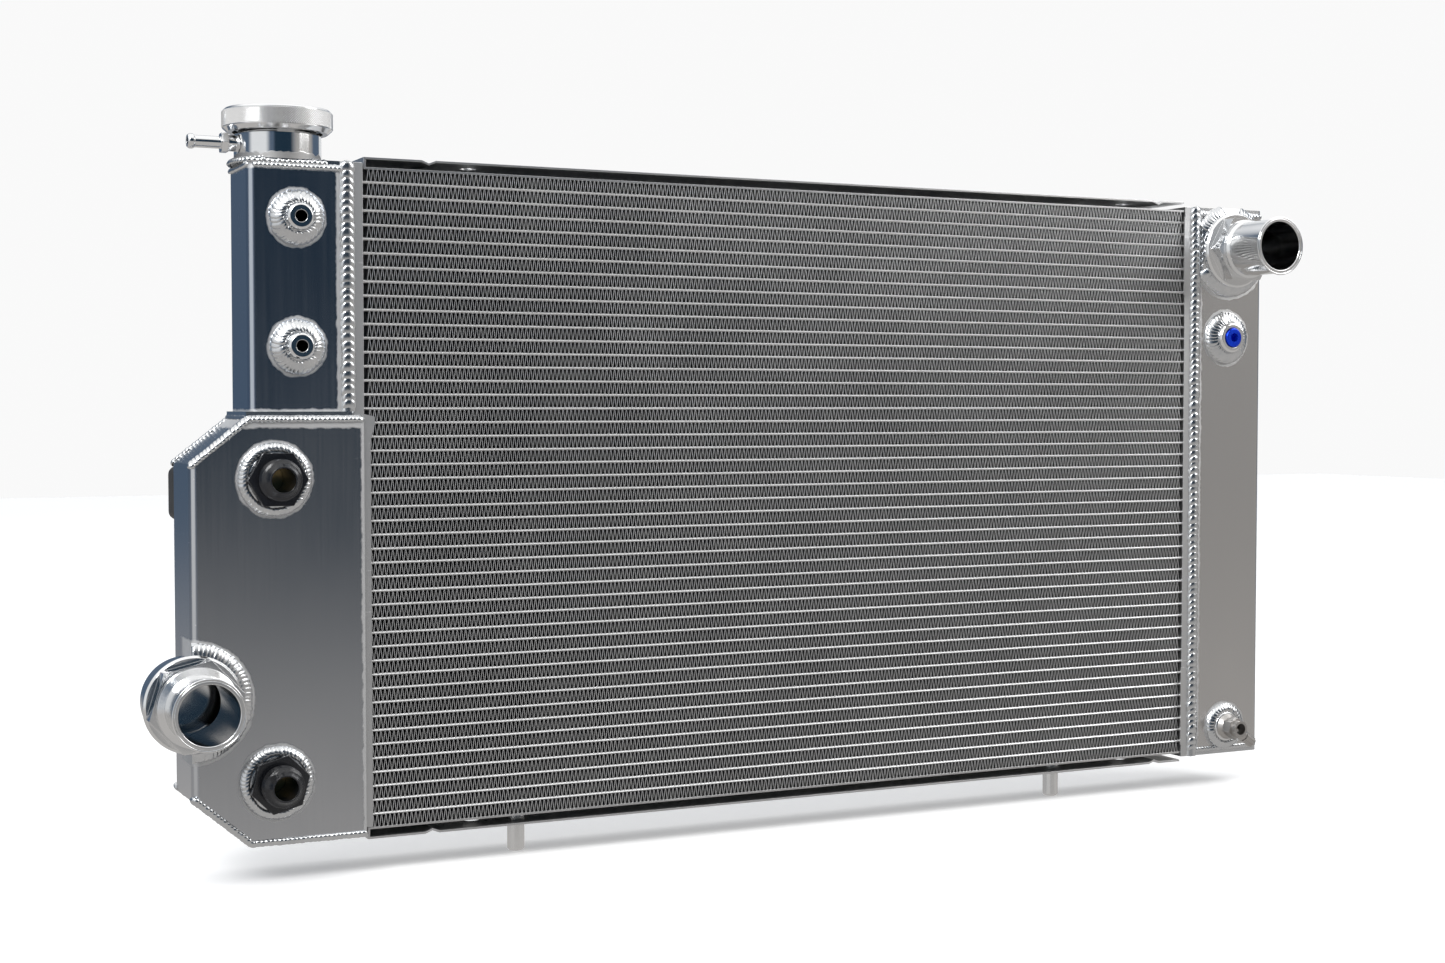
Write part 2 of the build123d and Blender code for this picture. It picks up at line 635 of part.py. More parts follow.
with BuildPart() as lower_cooler_bung:
    revolve(cooler_bung(COOLER_PORT_Z[0]), axis=front_axis(COOLER_PORT_X, COOLER_PORT_Z[0]))
write(lower_cooler_bung, "lower_cooler_bung")

with BuildPart() as upper_cooler_bung:
    revolve(cooler_bung(COOLER_PORT_Z[1]), axis=front_axis(COOLER_PORT_X, COOLER_PORT_Z[1]))
write(upper_cooler_bung, "upper_cooler_bung")

with BuildPart() as lower_cooler_fitting:
    revolve(cooler_fitting(COOLER_PORT_Z[0]), axis=front_axis(COOLER_PORT_X, COOLER_PORT_Z[0]))
    extrude(cooler_hex(COOLER_PORT_Z[0], 15), amount=COOLER_HEX_LENGTH)
write(lower_cooler_fitting, "lower_cooler_fitting")

with BuildPart() as upper_cooler_fitting:
    revolve(cooler_fitting(COOLER_PORT_Z[1]), axis=front_axis(COOLER_PORT_X, COOLER_PORT_Z[1]))
    extrude(cooler_hex(COOLER_PORT_Z[1], 0), amount=COOLER_HEX_LENGTH)
write(upper_cooler_fitting, "upper_cooler_fitting")

with BuildPart() as cooler_port_seals:
    for seal_z in COOLER_PORT_Z:
        revolve(cooler_seal(seal_z), axis=front_axis(COOLER_PORT_X, seal_z))
write(cooler_port_seals, "cooler_port_seals")

COOLER_PLATES = 4
COOLER_PLATE_SHEET = 3.0
COOLER_PLATE_WIDTH = 44.0
COOLER_PLATE_LENGTH = COOLER_PORT_Z[1] - COOLER_PORT_Z[0] + COOLER_PLATE_WIDTH
COOLER_PLATE_STEP = (COOLER_BLOCK_FRONT - COOLER_BACK - COOLER_PLATE_SHEET) / (COOLER_PLATES - 1)
cooler_mid_z = sum(COOLER_PORT_Z) / 2

with BuildPart() as oil_cooler_plates:
    for plate in range(COOLER_PLATES):
        with BuildSketch(Plane.XZ.offset(COOLER_BACK + plate * COOLER_PLATE_STEP)):
            with Locations((COOLER_PORT_X, cooler_mid_z)):
                SlotOverall(COOLER_PLATE_LENGTH, COOLER_PLATE_WIDTH, rotation=90)
            if plate > 0:
                with Locations(*[(COOLER_PORT_X, z) for z in COOLER_PORT_Z]):
                    Circle(COOLER_BORE)
        extrude(amount=COOLER_PLATE_SHEET)
write(oil_cooler_plates, "oil_cooler_plates")

with BuildPart() as oil_cooler_spacers:
    for plate in range(COOLER_PLATES - 1):
        with BuildSketch(
            Plane.XZ.offset(COOLER_BACK + plate * COOLER_PLATE_STEP + COOLER_PLATE_SHEET)
        ):
            with Locations(*[(COOLER_PORT_X, z) for z in COOLER_PORT_Z]):
                Circle(COOLER_SPIGOT)
                Circle(COOLER_BORE, mode=Mode.SUBTRACT)
        extrude(amount=COOLER_PLATE_STEP - COOLER_PLATE_SHEET)
write(oil_cooler_spacers, "oil_cooler_spacers")

# ---- Hose necks: screwed into welded bungs, each with a seal ring --------------------------
HOSE_PIPE_RADIUS = 22.2
HOSE_PIPE_BORE = 19.5
HOSE_THREAD_RADIUS = 22.5
HOSE_SEAL_RADIUS = 25.0
HOSE_SEAL_DEPTH = 2.0
HOSE_PORT_FACE = LOWER_FRONT + 4.0
OUTLET_PORT_FACE = FRONT + 6.0
NECK_FLANGE = 5.0
NECK_HEX_LENGTH = 12.0


def neck_outline(face, flange_radius, shoulder_radius, mouth):
    """Half section of a hose neck: spigot, round flange, shoulder and pipe."""
    hex_end = face + NECK_FLANGE + NECK_HEX_LENGTH
    return [
        (HOSE_PIPE_BORE, face - 6.5),
        (HOSE_THREAD_RADIUS, face - 6.5),
        (HOSE_THREAD_RADIUS, face),
        (flange_radius, face),
        (flange_radius, face + NECK_FLANGE - 1.5),
        (flange_radius - 1.5, face + NECK_FLANGE),
        (shoulder_radius, face + NECK_FLANGE),
        (shoulder_radius, hex_end + 3.0),
        (HOSE_PIPE_RADIUS, hex_end + 5.0),
        (HOSE_PIPE_RADIUS, mouth - 0.5),
        (HOSE_PIPE_RADIUS - 0.5, mouth),
        (HOSE_PIPE_BORE + 0.5, mouth),
        (HOSE_PIPE_BORE, mouth - 0.5),
    ]


def neck_hex(x, z, face, across_flats, turn):
    """The neck's hexagon, with the pipe's bore through it."""
    with BuildSketch(Plane.XZ.offset(face + NECK_FLANGE)) as section:
        with Locations((x, z)):
            RegularPolygon(across_flats / 2, 6, major_radius=False, rotation=turn)
            Circle(HOSE_PIPE_BORE, mode=Mode.SUBTRACT)
    return section.sketch


def neck_seal(x, z, face):
    """Half section of the seal ring under a neck's flange."""
    return front_profile(x, z, [
        (HOSE_THREAD_RADIUS, face - HOSE_SEAL_DEPTH),
        (HOSE_SEAL_RADIUS, face - HOSE_SEAL_DEPTH),
        (HOSE_SEAL_RADIUS, face),
        (HOSE_THREAD_RADIUS, face),
    ])


LOWER_MOUTH = 90.0
OUTLET_MOUTH = 92.0

with BuildPart() as lower_hose_bung:
    revolve(front_profile(HOSE_X, HOSE_Z, [
        (0, HOSE_BUNG_BACK),
        (HOSE_BUNG_RADIUS, HOSE_BUNG_BACK),
        (HOSE_BUNG_RADIUS, HOSE_PORT_FACE),
        (HOSE_SEAL_RADIUS, HOSE_PORT_FACE),
        (HOSE_SEAL_RADIUS, HOSE_PORT_FACE - HOSE_SEAL_DEPTH),
        (HOSE_THREAD_RADIUS, HOSE_PORT_FACE - HOSE_SEAL_DEPTH),
        (HOSE_THREAD_RADIUS, HOSE_BUNG_BACK + TANK_SHEET),
        (0, HOSE_BUNG_BACK + TANK_SHEET),
    ]), axis=front_axis(HOSE_X, HOSE_Z))
    with BuildSketch(Plane.XZ.offset(HOSE_BUNG_BACK + TANK_SHEET)):
        with Locations((HOSE_X + TANK_SHEET, HOSE_Z)):
            Rectangle(HOSE_BUNG_RADIUS, 36, align=(Align.MIN, Align.CENTER))
    extrude(amount=LOWER_FRONT - 2 * TANK_SHEET - HOSE_BUNG_BACK, mode=Mode.SUBTRACT)
write(lower_hose_bung, "lower_hose_bung")

with BuildPart() as lower_hose_neck:
    revolve(front_profile(HOSE_X, HOSE_Z, neck_outline(HOSE_PORT_FACE, 32.5, 26.5, LOWER_MOUTH)),
            axis=front_axis(HOSE_X, HOSE_Z))
    extrude(neck_hex(HOSE_X, HOSE_Z, HOSE_PORT_FACE, 55.0, 13), amount=NECK_HEX_LENGTH)
write(lower_hose_neck, "lower_hose_neck")

with BuildPart() as lower_hose_seal:
    revolve(neck_seal(HOSE_X, HOSE_Z, HOSE_PORT_FACE), axis=front_axis(HOSE_X, HOSE_Z))
write(lower_hose_seal, "lower_hose_seal")

with BuildPart() as upper_hose_bung:
    revolve(front_profile(OUTLET_X, OUTLET_Z, [
        (HOSE_THREAD_RADIUS, FRONT - TANK_SHEET),
        (OUTLET_BUNG_RADIUS, FRONT - TANK_SHEET),
        (OUTLET_BUNG_RADIUS, OUTLET_PORT_FACE),
        (HOSE_SEAL_RADIUS, OUTLET_PORT_FACE),
        (HOSE_SEAL_RADIUS, OUTLET_PORT_FACE - HOSE_SEAL_DEPTH),
        (HOSE_THREAD_RADIUS, OUTLET_PORT_FACE - HOSE_SEAL_DEPTH),
    ]), axis=front_axis(OUTLET_X, OUTLET_Z))
write(upper_hose_bung, "upper_hose_bung")

with BuildPart() as upper_hose_neck:
    revolve(
        front_profile(OUTLET_X, OUTLET_Z,
                      neck_outline(OUTLET_PORT_FACE, 31.0, 24.0, OUTLET_MOUTH)),
        axis=front_axis(OUTLET_X, OUTLET_Z),
    )
    extrude(neck_hex(OUTLET_X, OUTLET_Z, OUTLET_PORT_FACE, 50.0, 0), amount=NECK_HEX_LENGTH)
write(upper_hose_neck, "upper_hose_neck")

with BuildPart() as upper_hose_seal:
    revolve(neck_seal(OUTLET_X, OUTLET_Z, OUTLET_PORT_FACE), axis=front_axis(OUTLET_X, OUTLET_Z))
write(upper_hose_seal, "upper_hose_seal")

# ---- Filler neck and overflow barb ---------------------------------------------------------
SEAT_HEIGHT = 455.0
SEAT_RADIUS = 16.0
SEAT_SHEET = 3.0
THROAT_RADIUS = 22.0
NECK_SHOULDER = 479.5
GROOVE_RADIUS = 26.0
GROOVE_HEIGHT = 483.5
CAM_RADIUS = 28.0
NECK_TOP = 486.5
NOTCH_WIDTH = 18.0
NOTCH_RADIUS = 25.5
BARB_Z = 473.5
BARB_BOSS_RADIUS = 5.45
BARB_BOSS_END = -433.5
BARB_THREAD_RADIUS = 4.0
BARB_BORE = 2.5
BARB_HEX = 12.7
BARB_HEX_END = -438.0
BARB_RADIUS = 4.1
BARB_BEAD_RADIUS = 5.0
BARB_TIP = -460.0

with BuildPart() as filler_neck:
    revolve(upright_profile(NECK_X, [
        (SEAT_RADIUS, SEAT_HEIGHT - SEAT_SHEET),
        (NECK_SPIGOT, SEAT_HEIGHT - SEAT_SHEET),
        (NECK_SPIGOT, TANK_TOP),
        (NECK_RADIUS, TANK_TOP),
        (NECK_RADIUS, NECK_SHOULDER),
        (GROOVE_RADIUS, NECK_SHOULDER + 1),
        (GROOVE_RADIUS, GROOVE_HEIGHT),
        (CAM_RADIUS, GROOVE_HEIGHT),
        (CAM_RADIUS, NECK_TOP),
        (THROAT_RADIUS, NECK_TOP),
        (THROAT_RADIUS, SEAT_HEIGHT),
        (SEAT_RADIUS, SEAT_HEIGHT),
    ]), axis=upright_axis(NECK_X))
    with BuildSketch(Plane.YZ.offset(BARB_BOSS_END)):
        with Locations((0, BARB_Z)):
            Circle(BARB_BOSS_RADIUS)
    extrude(amount=NECK_X - NECK_RADIUS + 2 - BARB_BOSS_END)
    with BuildSketch(Plane.YZ.offset(BARB_BOSS_END)):
        with Locations((0, BARB_Z)):
            Circle(BARB_THREAD_RADIUS)
    extrude(amount=NECK_X - THROAT_RADIUS + 2 - BARB_BOSS_END, mode=Mode.SUBTRACT)
    with BuildSketch(Plane.XY.offset(GROOVE_HEIGHT)):
        with Locations((NECK_X, NOTCH_RADIUS), (NECK_X, -NOTCH_RADIUS - 6)):
            Rectangle(NOTCH_WIDTH, 6, align=(Align.CENTER, Align.MIN))
    extrude(amount=NECK_TOP - GROOVE_HEIGHT, mode=Mode.SUBTRACT)
write(filler_neck, "filler_neck")


def barb_profile():
    """Half section of the overflow barb, lying along X: (distance along X, radius)."""
    with BuildSketch(Plane.XZ) as profile:
        with BuildLine():
            Polyline(*[(x, BARB_Z + radius) for x, radius in (
                (NECK_X - THROAT_RADIUS - 1, BARB_BORE),
                (NECK_X - THROAT_RADIUS - 1, BARB_THREAD_RADIUS),
                (BARB_BOSS_END, BARB_THREAD_RADIUS),
                (BARB_BOSS_END, BARB_RADIUS + 1),
                (BARB_HEX_END, BARB_RADIUS + 1),
                (BARB_HEX_END, BARB_RADIUS),
                (BARB_TIP + 5, BARB_RADIUS),
                (BARB_TIP + 3.5, BARB_BEAD_RADIUS),
                (BARB_TIP + 1.5, BARB_BEAD_RADIUS),
                (BARB_TIP, BARB_RADIUS),
                (BARB_TIP, BARB_BORE),
            )], close=True)
        make_face()
    return profile.sketch


with BuildPart() as overflow_barb:
    revolve(barb_profile(), axis=Axis((0, 0, BARB_Z), (1, 0, 0)))
    with BuildSketch(Plane.YZ.offset(BARB_HEX_END)):
        with Locations((0, BARB_Z)):
            RegularPolygon(BARB_HEX / 2, 6, major_radius=False)
            Circle(BARB_BORE, mode=Mode.SUBTRACT)
    extrude(amount=BARB_BOSS_END - BARB_HEX_END)
write(overflow_barb, "overflow_barb")

# ---- Pressure cap: a knurled shell that turns on a riveted plate, with two valves below ----
CAP_TOP = 497.2
CAP_RADIUS = 36.5
KNURL_TOP = 495.6
KNURL_BOTTOM = 484.3
CAP_BOTTOM = 481.5
SKIRT_RADIUS = 30.0
CAP_CEILING = 489.5
RIVET_RADIUS = 4.0
RIVET_TOP = 493.2
RUNNING_CLEARANCE = 0.06
EAR_WIDTH = 14.0
EAR_RADIUS = 26.3
EAR_BOTTOM = 481.7
EAR_TOP = 483.2
BACKING_TOP = 489.2
BACKING_BOTTOM = 488.0
BACKING_RADIUS = 28.0
GASKET_BOTTOM = 486.6
GUIDE_RADIUS = 5.0
GUIDE_BORE = 3.5
GUIDE_BOTTOM = 463.5
PLATE_BOTTOM = 457.1
PLATE_TOP = 460.1
PLATE_RADIUS = 19.0
PLATE_BOSS_RADIUS = 7.0
PLATE_BOSS_TOP = 470.0
SEAL_BOTTOM = 455.1
SEAL_BORE = 14.0
VENT_STEM_RADIUS = 1.5
VENT_HEAD_RADIUS = 2.6
VENT_HEAD_TOP = 462.0
VENT_DISC_RADIUS = 7.0
VENT_DISC_TOP = 455.9
VENT_DISC_BOTTOM = 454.9

with BuildPart() as cap_shell:
    revolve(upright_profile(NECK_X, [
        (0, CAP_TOP),
        (CAP_RADIUS - 1.8, CAP_TOP),
        (CAP_RADIUS, KNURL_TOP),
        (CAP_RADIUS, KNURL_BOTTOM),
        (CAP_RADIUS - 3.0, CAP_BOTTOM),
        (SKIRT_RADIUS, CAP_BOTTOM),
        (SKIRT_RADIUS, CAP_CEILING),
        (RIVET_RADIUS + RUNNING_CLEARANCE, CAP_CEILING),
        (RIVET_RADIUS + RUNNING_CLEARANCE, RIVET_TOP + 0.4),
        (0, RIVET_TOP + 0.4),
    ]), axis=upright_axis(NECK_X))
    with BuildSketch(Plane.XY.offset(EAR_BOTTOM)):
        with Locations((NECK_X, EAR_RADIUS), (NECK_X, -SKIRT_RADIUS - 1)):
            Rectangle(EAR_WIDTH, SKIRT_RADIUS + 1 - EAR_RADIUS, align=(Align.CENTER, Align.MIN))
    extrude(amount=EAR_TOP - EAR_BOTTOM)
write(cap_shell, "cap_shell")

with BuildPart() as cap_backing_plate:
    revolve(upright_profile(NECK_X, [
        (0, RIVET_TOP),
        (RIVET_RADIUS, RIVET_TOP),
        (RIVET_RADIUS, BACKING_TOP),
        (BACKING_RADIUS, BACKING_TOP),
        (BACKING_RADIUS, BACKING_BOTTOM),
        (GUIDE_RADIUS, BACKING_BOTTOM),
        (GUIDE_RADIUS, GUIDE_BOTTOM),
        (GUIDE_BORE, GUIDE_BOTTOM),
        (GUIDE_BORE, BACKING_BOTTOM - 1),
        (0, BACKING_BOTTOM - 1),
    ]), axis=upright_axis(NECK_X))
write(cap_backing_plate, "cap_backing_plate")

with BuildPart() as cap_top_gasket:
    revolve(upright_profile(NECK_X, [
        (THROAT_RADIUS + 0.5, GASKET_BOTTOM),
        (CAM_RADIUS - 0.5, GASKET_BOTTOM),
        (CAM_RADIUS - 0.5, BACKING_BOTTOM),
        (THROAT_RADIUS + 0.5, BACKING_BOTTOM),
    ]), axis=upright_axis(NECK_X))
write(cap_top_gasket, "cap_top_gasket")

with BuildPart() as cap_pressure_plate:
    revolve(upright_profile(NECK_X, [
        (VENT_STEM_RADIUS + RUNNING_CLEARANCE, PLATE_BOTTOM),
        (PLATE_RADIUS, PLATE_BOTTOM),
        (PLATE_RADIUS, PLATE_TOP - 1.5),
        (PLATE_RADIUS - 1.5, PLATE_TOP),
        (PLATE_BOSS_RADIUS, PLATE_TOP),
        (PLATE_BOSS_RADIUS, PLATE_BOSS_TOP),
        (GUIDE_RADIUS + RUNNING_CLEARANCE, PLATE_BOSS_TOP),
        (GUIDE_RADIUS + RUNNING_CLEARANCE, PLATE_TOP),
        (VENT_STEM_RADIUS + RUNNING_CLEARANCE, PLATE_TOP),
    ]), axis=upright_axis(NECK_X))
write(cap_pressure_plate, "cap_pressure_plate")

with BuildPart() as cap_pressure_seal:
    revolve(upright_profile(NECK_X, [
        (SEAL_BORE, SEAL_BOTTOM),
        (PLATE_RADIUS, SEAL_BOTTOM),
        (PLATE_RADIUS, PLATE_BOTTOM),
        (SEAL_BORE, PLATE_BOTTOM),
    ]), axis=upright_axis(NECK_X))
write(cap_pressure_seal, "cap_pressure_seal")

SPRING_RADIUS = 12.5
SPRING_WIRE_RADIUS = 1.2
SPRING_TURNS = 5
spring_start = PLATE_TOP + SPRING_WIRE_RADIUS + 0.3
spring_height = BACKING_BOTTOM - SPRING_WIRE_RADIUS - 0.3 - spring_start

with BuildPart() as cap_spring:
    with BuildLine() as coil:
        Helix(pitch=spring_height / SPRING_TURNS, height=spring_height, radius=SPRING_RADIUS,
              center=(NECK_X, 0, spring_start))
    with BuildSketch(Plane(origin=coil.line @ 0, z_dir=coil.line % 0)):
        Circle(SPRING_WIRE_RADIUS)
    sweep()
write(cap_spring, "cap_spring")

with BuildPart() as cap_vent_valve:
    revolve(upright_profile(NECK_X, [
        (0, VENT_HEAD_TOP),
        (VENT_HEAD_RADIUS, VENT_HEAD_TOP),
        (VENT_HEAD_RADIUS, PLATE_TOP + 0.1),
        (VENT_STEM_RADIUS, PLATE_TOP + 0.1),
        (VENT_STEM_RADIUS, VENT_DISC_TOP),
        (VENT_DISC_RADIUS, VENT_DISC_TOP),
        (VENT_DISC_RADIUS, VENT_DISC_BOTTOM),
        (0, VENT_DISC_BOTTOM),
    ]), axis=upright_axis(NECK_X))
write(cap_vent_valve, "cap_vent_valve")

# ---- Blue plug on the right tank -----------------------------------------------------------
PLUG_THREAD_RADIUS = 7.0
PLUG_RADIUS = 7.85
PLUG_SOCKET = 7.0
PLUG_FACE = FRONT + 8.0

with BuildPart() as plug_bung:
    revolve(front_profile(PLUG_X, PLUG_Z, [
        (PLUG_THREAD_RADIUS, FRONT - TANK_SHEET),
        (PLUG_SPIGOT, FRONT - TANK_SHEET),
        (PLUG_SPIGOT, FRONT),
        (PLUG_BUNG_RADIUS, FRONT),
        (PLUG_BUNG_RADIUS, PLUG_FACE + 0.5),
        (PLUG_BUNG_RADIUS - 1.5, PLUG_FACE + 2),
        (PLUG_RADIUS + 0.5, PLUG_FACE + 2),
        (PLUG_RADIUS + 0.5, PLUG_FACE),
        (PLUG_THREAD_RADIUS, PLUG_FACE),
    ]), axis=front_axis(PLUG_X, PLUG_Z))
write(plug_bung, "plug_bung")

with BuildPart() as port_plug:
    revolve(front_profile(PLUG_X, PLUG_Z, [
        (0, FRONT - 1),
        (PLUG_THREAD_RADIUS, FRONT - 1),
        (PLUG_THREAD_RADIUS, PLUG_FACE + 1),
        (PLUG_RADIUS, PLUG_FACE + 1),
        (PLUG_RADIUS, PLUG_FACE + 3),
        (PLUG_RADIUS - 0.8, PLUG_FACE + 3.8),
        (0, PLUG_FACE + 3.8),
    ]), axis=front_axis(PLUG_X, PLUG_Z))
    with BuildSketch(Plane.XZ.offset(PLUG_FACE + 3.8)):
        with Locations((PLUG_X, PLUG_Z)):
            RegularPolygon(PLUG_SOCKET / 2, 6, major_radius=False, rotation=30)
    extrude(amount=-6, mode=Mode.SUBTRACT)
write(port_plug, "port_plug")

with BuildPart() as plug_seal:
    revolve(front_profile(PLUG_X, PLUG_Z, [
        (PLUG_THREAD_RADIUS, PLUG_FACE),
        (PLUG_RADIUS + 0.5, PLUG_FACE),
        (PLUG_RADIUS + 0.5, PLUG_FACE + 1),
        (PLUG_THREAD_RADIUS, PLUG_FACE + 1),
    ]), axis=front_axis(PLUG_X, PLUG_Z))
write(plug_seal, "plug_seal")

# ---- Drain tap: body with an open spout, and a fluted knob on a needle that screws out -----
DRAIN_FACE = FRONT + 5.0
DRAIN_THREAD_RADIUS = 6.0
DRAIN_BASE_RADIUS = 10.5
DRAIN_HEX = 15.0
SPOUT_END = FRONT + 22.0
SPOUT_RADIUS = 6.7
SPOUT_BORE = 4.7
DRAIN_PASSAGE = 3.0
STEM_TILT = 35.0
STEM_REACH = FRONT + 12.4
STEM_BOSS_RADIUS = 4.5
STEM_BOSS_END = 13.0
NEEDLE_RADIUS = 2.4
KNOB_START = 14.0
KNOB_END = 24.0
KNOB_RADIUS = 4.6
KNOB_FLUTES = 8
NEEDLE_END = 13.6
SPINDLE_RADIUS = 1.5

stem_plane = Plane(
    origin=(DRAIN_X, -STEM_REACH, DRAIN_Z),
    x_dir=(0, 1, 0),
    z_dir=(cos(radians(STEM_TILT)), 0, -sin(radians(STEM_TILT))),
)

with BuildPart() as drain_bung:
    revolve(front_profile(DRAIN_X, DRAIN_Z, [
        (DRAIN_THREAD_RADIUS, FRONT - TANK_SHEET),
        (DRAIN_SPIGOT, FRONT - TANK_SHEET),
        (DRAIN_SPIGOT, FRONT),
        (DRAIN_BUNG_RADIUS, FRONT),
        (DRAIN_BUNG_RADIUS, DRAIN_FACE - 1),
        (DRAIN_BUNG_RADIUS - 1, DRAIN_FACE),
        (DRAIN_THREAD_RADIUS, DRAIN_FACE),
    ]), axis=front_axis(DRAIN_X, DRAIN_Z))
write(drain_bung, "drain_bung")

with BuildPart() as drain_body:
    revolve(front_profile(DRAIN_X, DRAIN_Z, [
        (0, FRONT - 1),
        (DRAIN_THREAD_RADIUS, FRONT - 1),
        (DRAIN_THREAD_RADIUS, DRAIN_FACE),
        (DRAIN_BASE_RADIUS, DRAIN_FACE),
        (DRAIN_HEX / 2 + 0.5, DRAIN_FACE + 3.5),
        (SPOUT_RADIUS, DRAIN_FACE + 3.5),
        (SPOUT_RADIUS, SPOUT_END),
        (0, SPOUT_END),
    ]), axis=front_axis(DRAIN_X, DRAIN_Z))
    with BuildSketch(Plane.XZ.offset(DRAIN_FACE + 3)):
        with Locations((DRAIN_X, DRAIN_Z)):
            RegularPolygon(DRAIN_HEX / 2, 6, major_radius=False, rotation=20)
    extrude(amount=9)
    with BuildSketch(stem_plane):
        Circle(STEM_BOSS_RADIUS)
    extrude(amount=STEM_BOSS_END)
    with BuildSketch(Plane.XZ.offset(SPOUT_END)):
        with Locations((DRAIN_X, DRAIN_Z)):
            Circle(SPOUT_BORE)
    extrude(amount=DRAIN_FACE + 1 - SPOUT_END, mode=Mode.SUBTRACT)
    with BuildSketch(Plane.XZ.offset(DRAIN_FACE + 2)):
        with Locations((DRAIN_X, DRAIN_Z)):
            Circle(DRAIN_PASSAGE)
    extrude(amount=FRONT - 2 - DRAIN_FACE, mode=Mode.SUBTRACT)
    with BuildSketch(stem_plane):
        Circle(NEEDLE_RADIUS + RUNNING_CLEARANCE)
    extrude(amount=STEM_BOSS_END + 1, mode=Mode.SUBTRACT)
write(drain_body, "drain_body")

with BuildPart() as drain_needle:
    with BuildSketch(stem_plane.offset(1.0)):
        Circle(NEEDLE_RADIUS)
    extrude(amount=NEEDLE_END - 1.0)
    chamfer(drain_needle.faces().sort_by(Axis(stem_plane.origin, stem_plane.z_dir))[0].edges(), 1.2)
    with BuildSketch(stem_plane.offset(NEEDLE_END)):
        Circle(SPINDLE_RADIUS)
    extrude(amount=KNOB_END - 2 - NEEDLE_END)
write(drain_needle, "drain_needle")

with BuildPart() as drain_knob:
    with BuildSketch(stem_plane.offset(KNOB_START)):
        Circle(KNOB_RADIUS)
        with PolarLocations(KNOB_RADIUS + 0.4, KNOB_FLUTES):
            Circle(1.0, mode=Mode.SUBTRACT)
    extrude(amount=KNOB_END - KNOB_START)
    with BuildSketch(stem_plane.offset(KNOB_START)):
        Circle(SPINDLE_RADIUS + RUNNING_CLEARANCE)
    extrude(amount=KNOB_END - 1.5 - KNOB_START, mode=Mode.SUBTRACT)
write(drain_knob, "drain_knob")

# ---- Rubber pad behind the lower tank -------------------------------------------------------
PAD_WIDTH = 30.0
PAD_HEIGHT = 37.0
PAD_THICKNESS = 18.0
PAD_CORNER = 6.0
PAD_MIDDLE = (LOWER_TANK_WALL + 0.5 + PAD_WIDTH / 2, 237.5)

with BuildPart() as rear_rubber_pad:
    with BuildSketch(Plane.XZ.offset(-FRONT)):
        with Locations(PAD_MIDDLE):
            RectangleRounded(PAD_WIDTH, PAD_HEIGHT, PAD_CORNER)
    extrude(amount=-PAD_THICKNESS)
write(rear_rubber_pad, "rear_rubber_pad")

# ---- Welds -----------------------------------------------------------------------------------
SEAM_WIDTH = 9.5
SEAM_CROWN = 2.4


def long_seam(side, face_y, bottom):
    """A crowned weld up the joint between a header plate and a tank's wrap."""
    middle = side * (HEADER_RIM + 2.5)
    outward = 1 if face_y > 0 else -1
    with BuildSketch(Plane.XY.offset(bottom)) as section:
        with BuildLine():
            ThreePointArc(
                (middle - SEAM_WIDTH / 2, face_y),
                (middle, face_y + outward * SEAM_CROWN),
                (middle + SEAM_WIDTH / 2, face_y),
            )
            Line((middle - SEAM_WIDTH / 2, face_y), (middle + SEAM_WIDTH / 2, face_y))
        make_face()
    return section.sketch


def ring_weld(x, z, face, inner, outer, height):
    """Half section of the fillet weld round a bung: highest against the bung."""
    return front_profile(x, z, [
        (inner, face),
        (outer, face),
        (outer - 0.2 * (outer - inner), face + 0.4 * height),
        (inner + 0.25 * (outer - inner), face + 0.9 * height),
        (inner, face + height),
    ])


def trim_box(low_x, high_x, low_z, high_z):
    """Front view of the region that a ring weld is kept within, where it meets a tank's edge."""
    with BuildSketch(Plane.XZ) as region:
        with Locations(((low_x + high_x) / 2, (low_z + high_z) / 2)):
            Rectangle(high_x - low_x, high_z - low_z)
    return region.sketch


with BuildPart() as lower_hose_weld:
    revolve(ring_weld(HOSE_X, HOSE_Z, LOWER_FRONT, HOSE_BUNG_RADIUS, 40.0, 3.8),
            axis=front_axis(HOSE_X, HOSE_Z))
    extrude(trim_box(HOSE_X, HOSE_X + 50, HOSE_Z - 50, HOSE_Z + 50), amount=60,
            mode=Mode.INTERSECT)
write(lower_hose_weld, "lower_hose_weld")

with BuildPart() as upper_hose_weld:
    revolve(ring_weld(OUTLET_X, OUTLET_Z, FRONT, OUTLET_BUNG_RADIUS, 38.5, 5.8),
            axis=front_axis(OUTLET_X, OUTLET_Z))
    seam_edge = HEADER_RIM + 2.5 + SEAM_WIDTH / 2
    extrude(trim_box(seam_edge, RIGHT_TANK_WALL - 0.5, OUTLET_Z - 50, TANK_TOP), amount=60,
            mode=Mode.INTERSECT)
write(upper_hose_weld, "upper_hose_weld")

with BuildPart() as fitting_welds:
    for weld_z in SMALL_BUNG_Z:
        revolve(ring_weld(SMALL_BUNG_X, weld_z, FRONT, SMALL_BUNG_RADIUS, 18.5, 7.0),
                axis=front_axis(SMALL_BUNG_X, weld_z))
    for weld_z in COOLER_PORT_Z:
        revolve(ring_weld(COOLER_PORT_X, weld_z, LOWER_FRONT, COOLER_BUNG_RADIUS, 24.3, 3.8),
                axis=front_axis(COOLER_PORT_X, weld_z))
    revolve(ring_weld(PLUG_X, PLUG_Z, FRONT, PLUG_BUNG_RADIUS, 21.5, 6.0),
            axis=front_axis(PLUG_X, PLUG_Z))
    revolve(ring_weld(DRAIN_X, DRAIN_Z, FRONT, DRAIN_BUNG_RADIUS, 19.0, 3.8),
            axis=front_axis(DRAIN_X, DRAIN_Z))
write(fitting_welds, "fitting_welds")

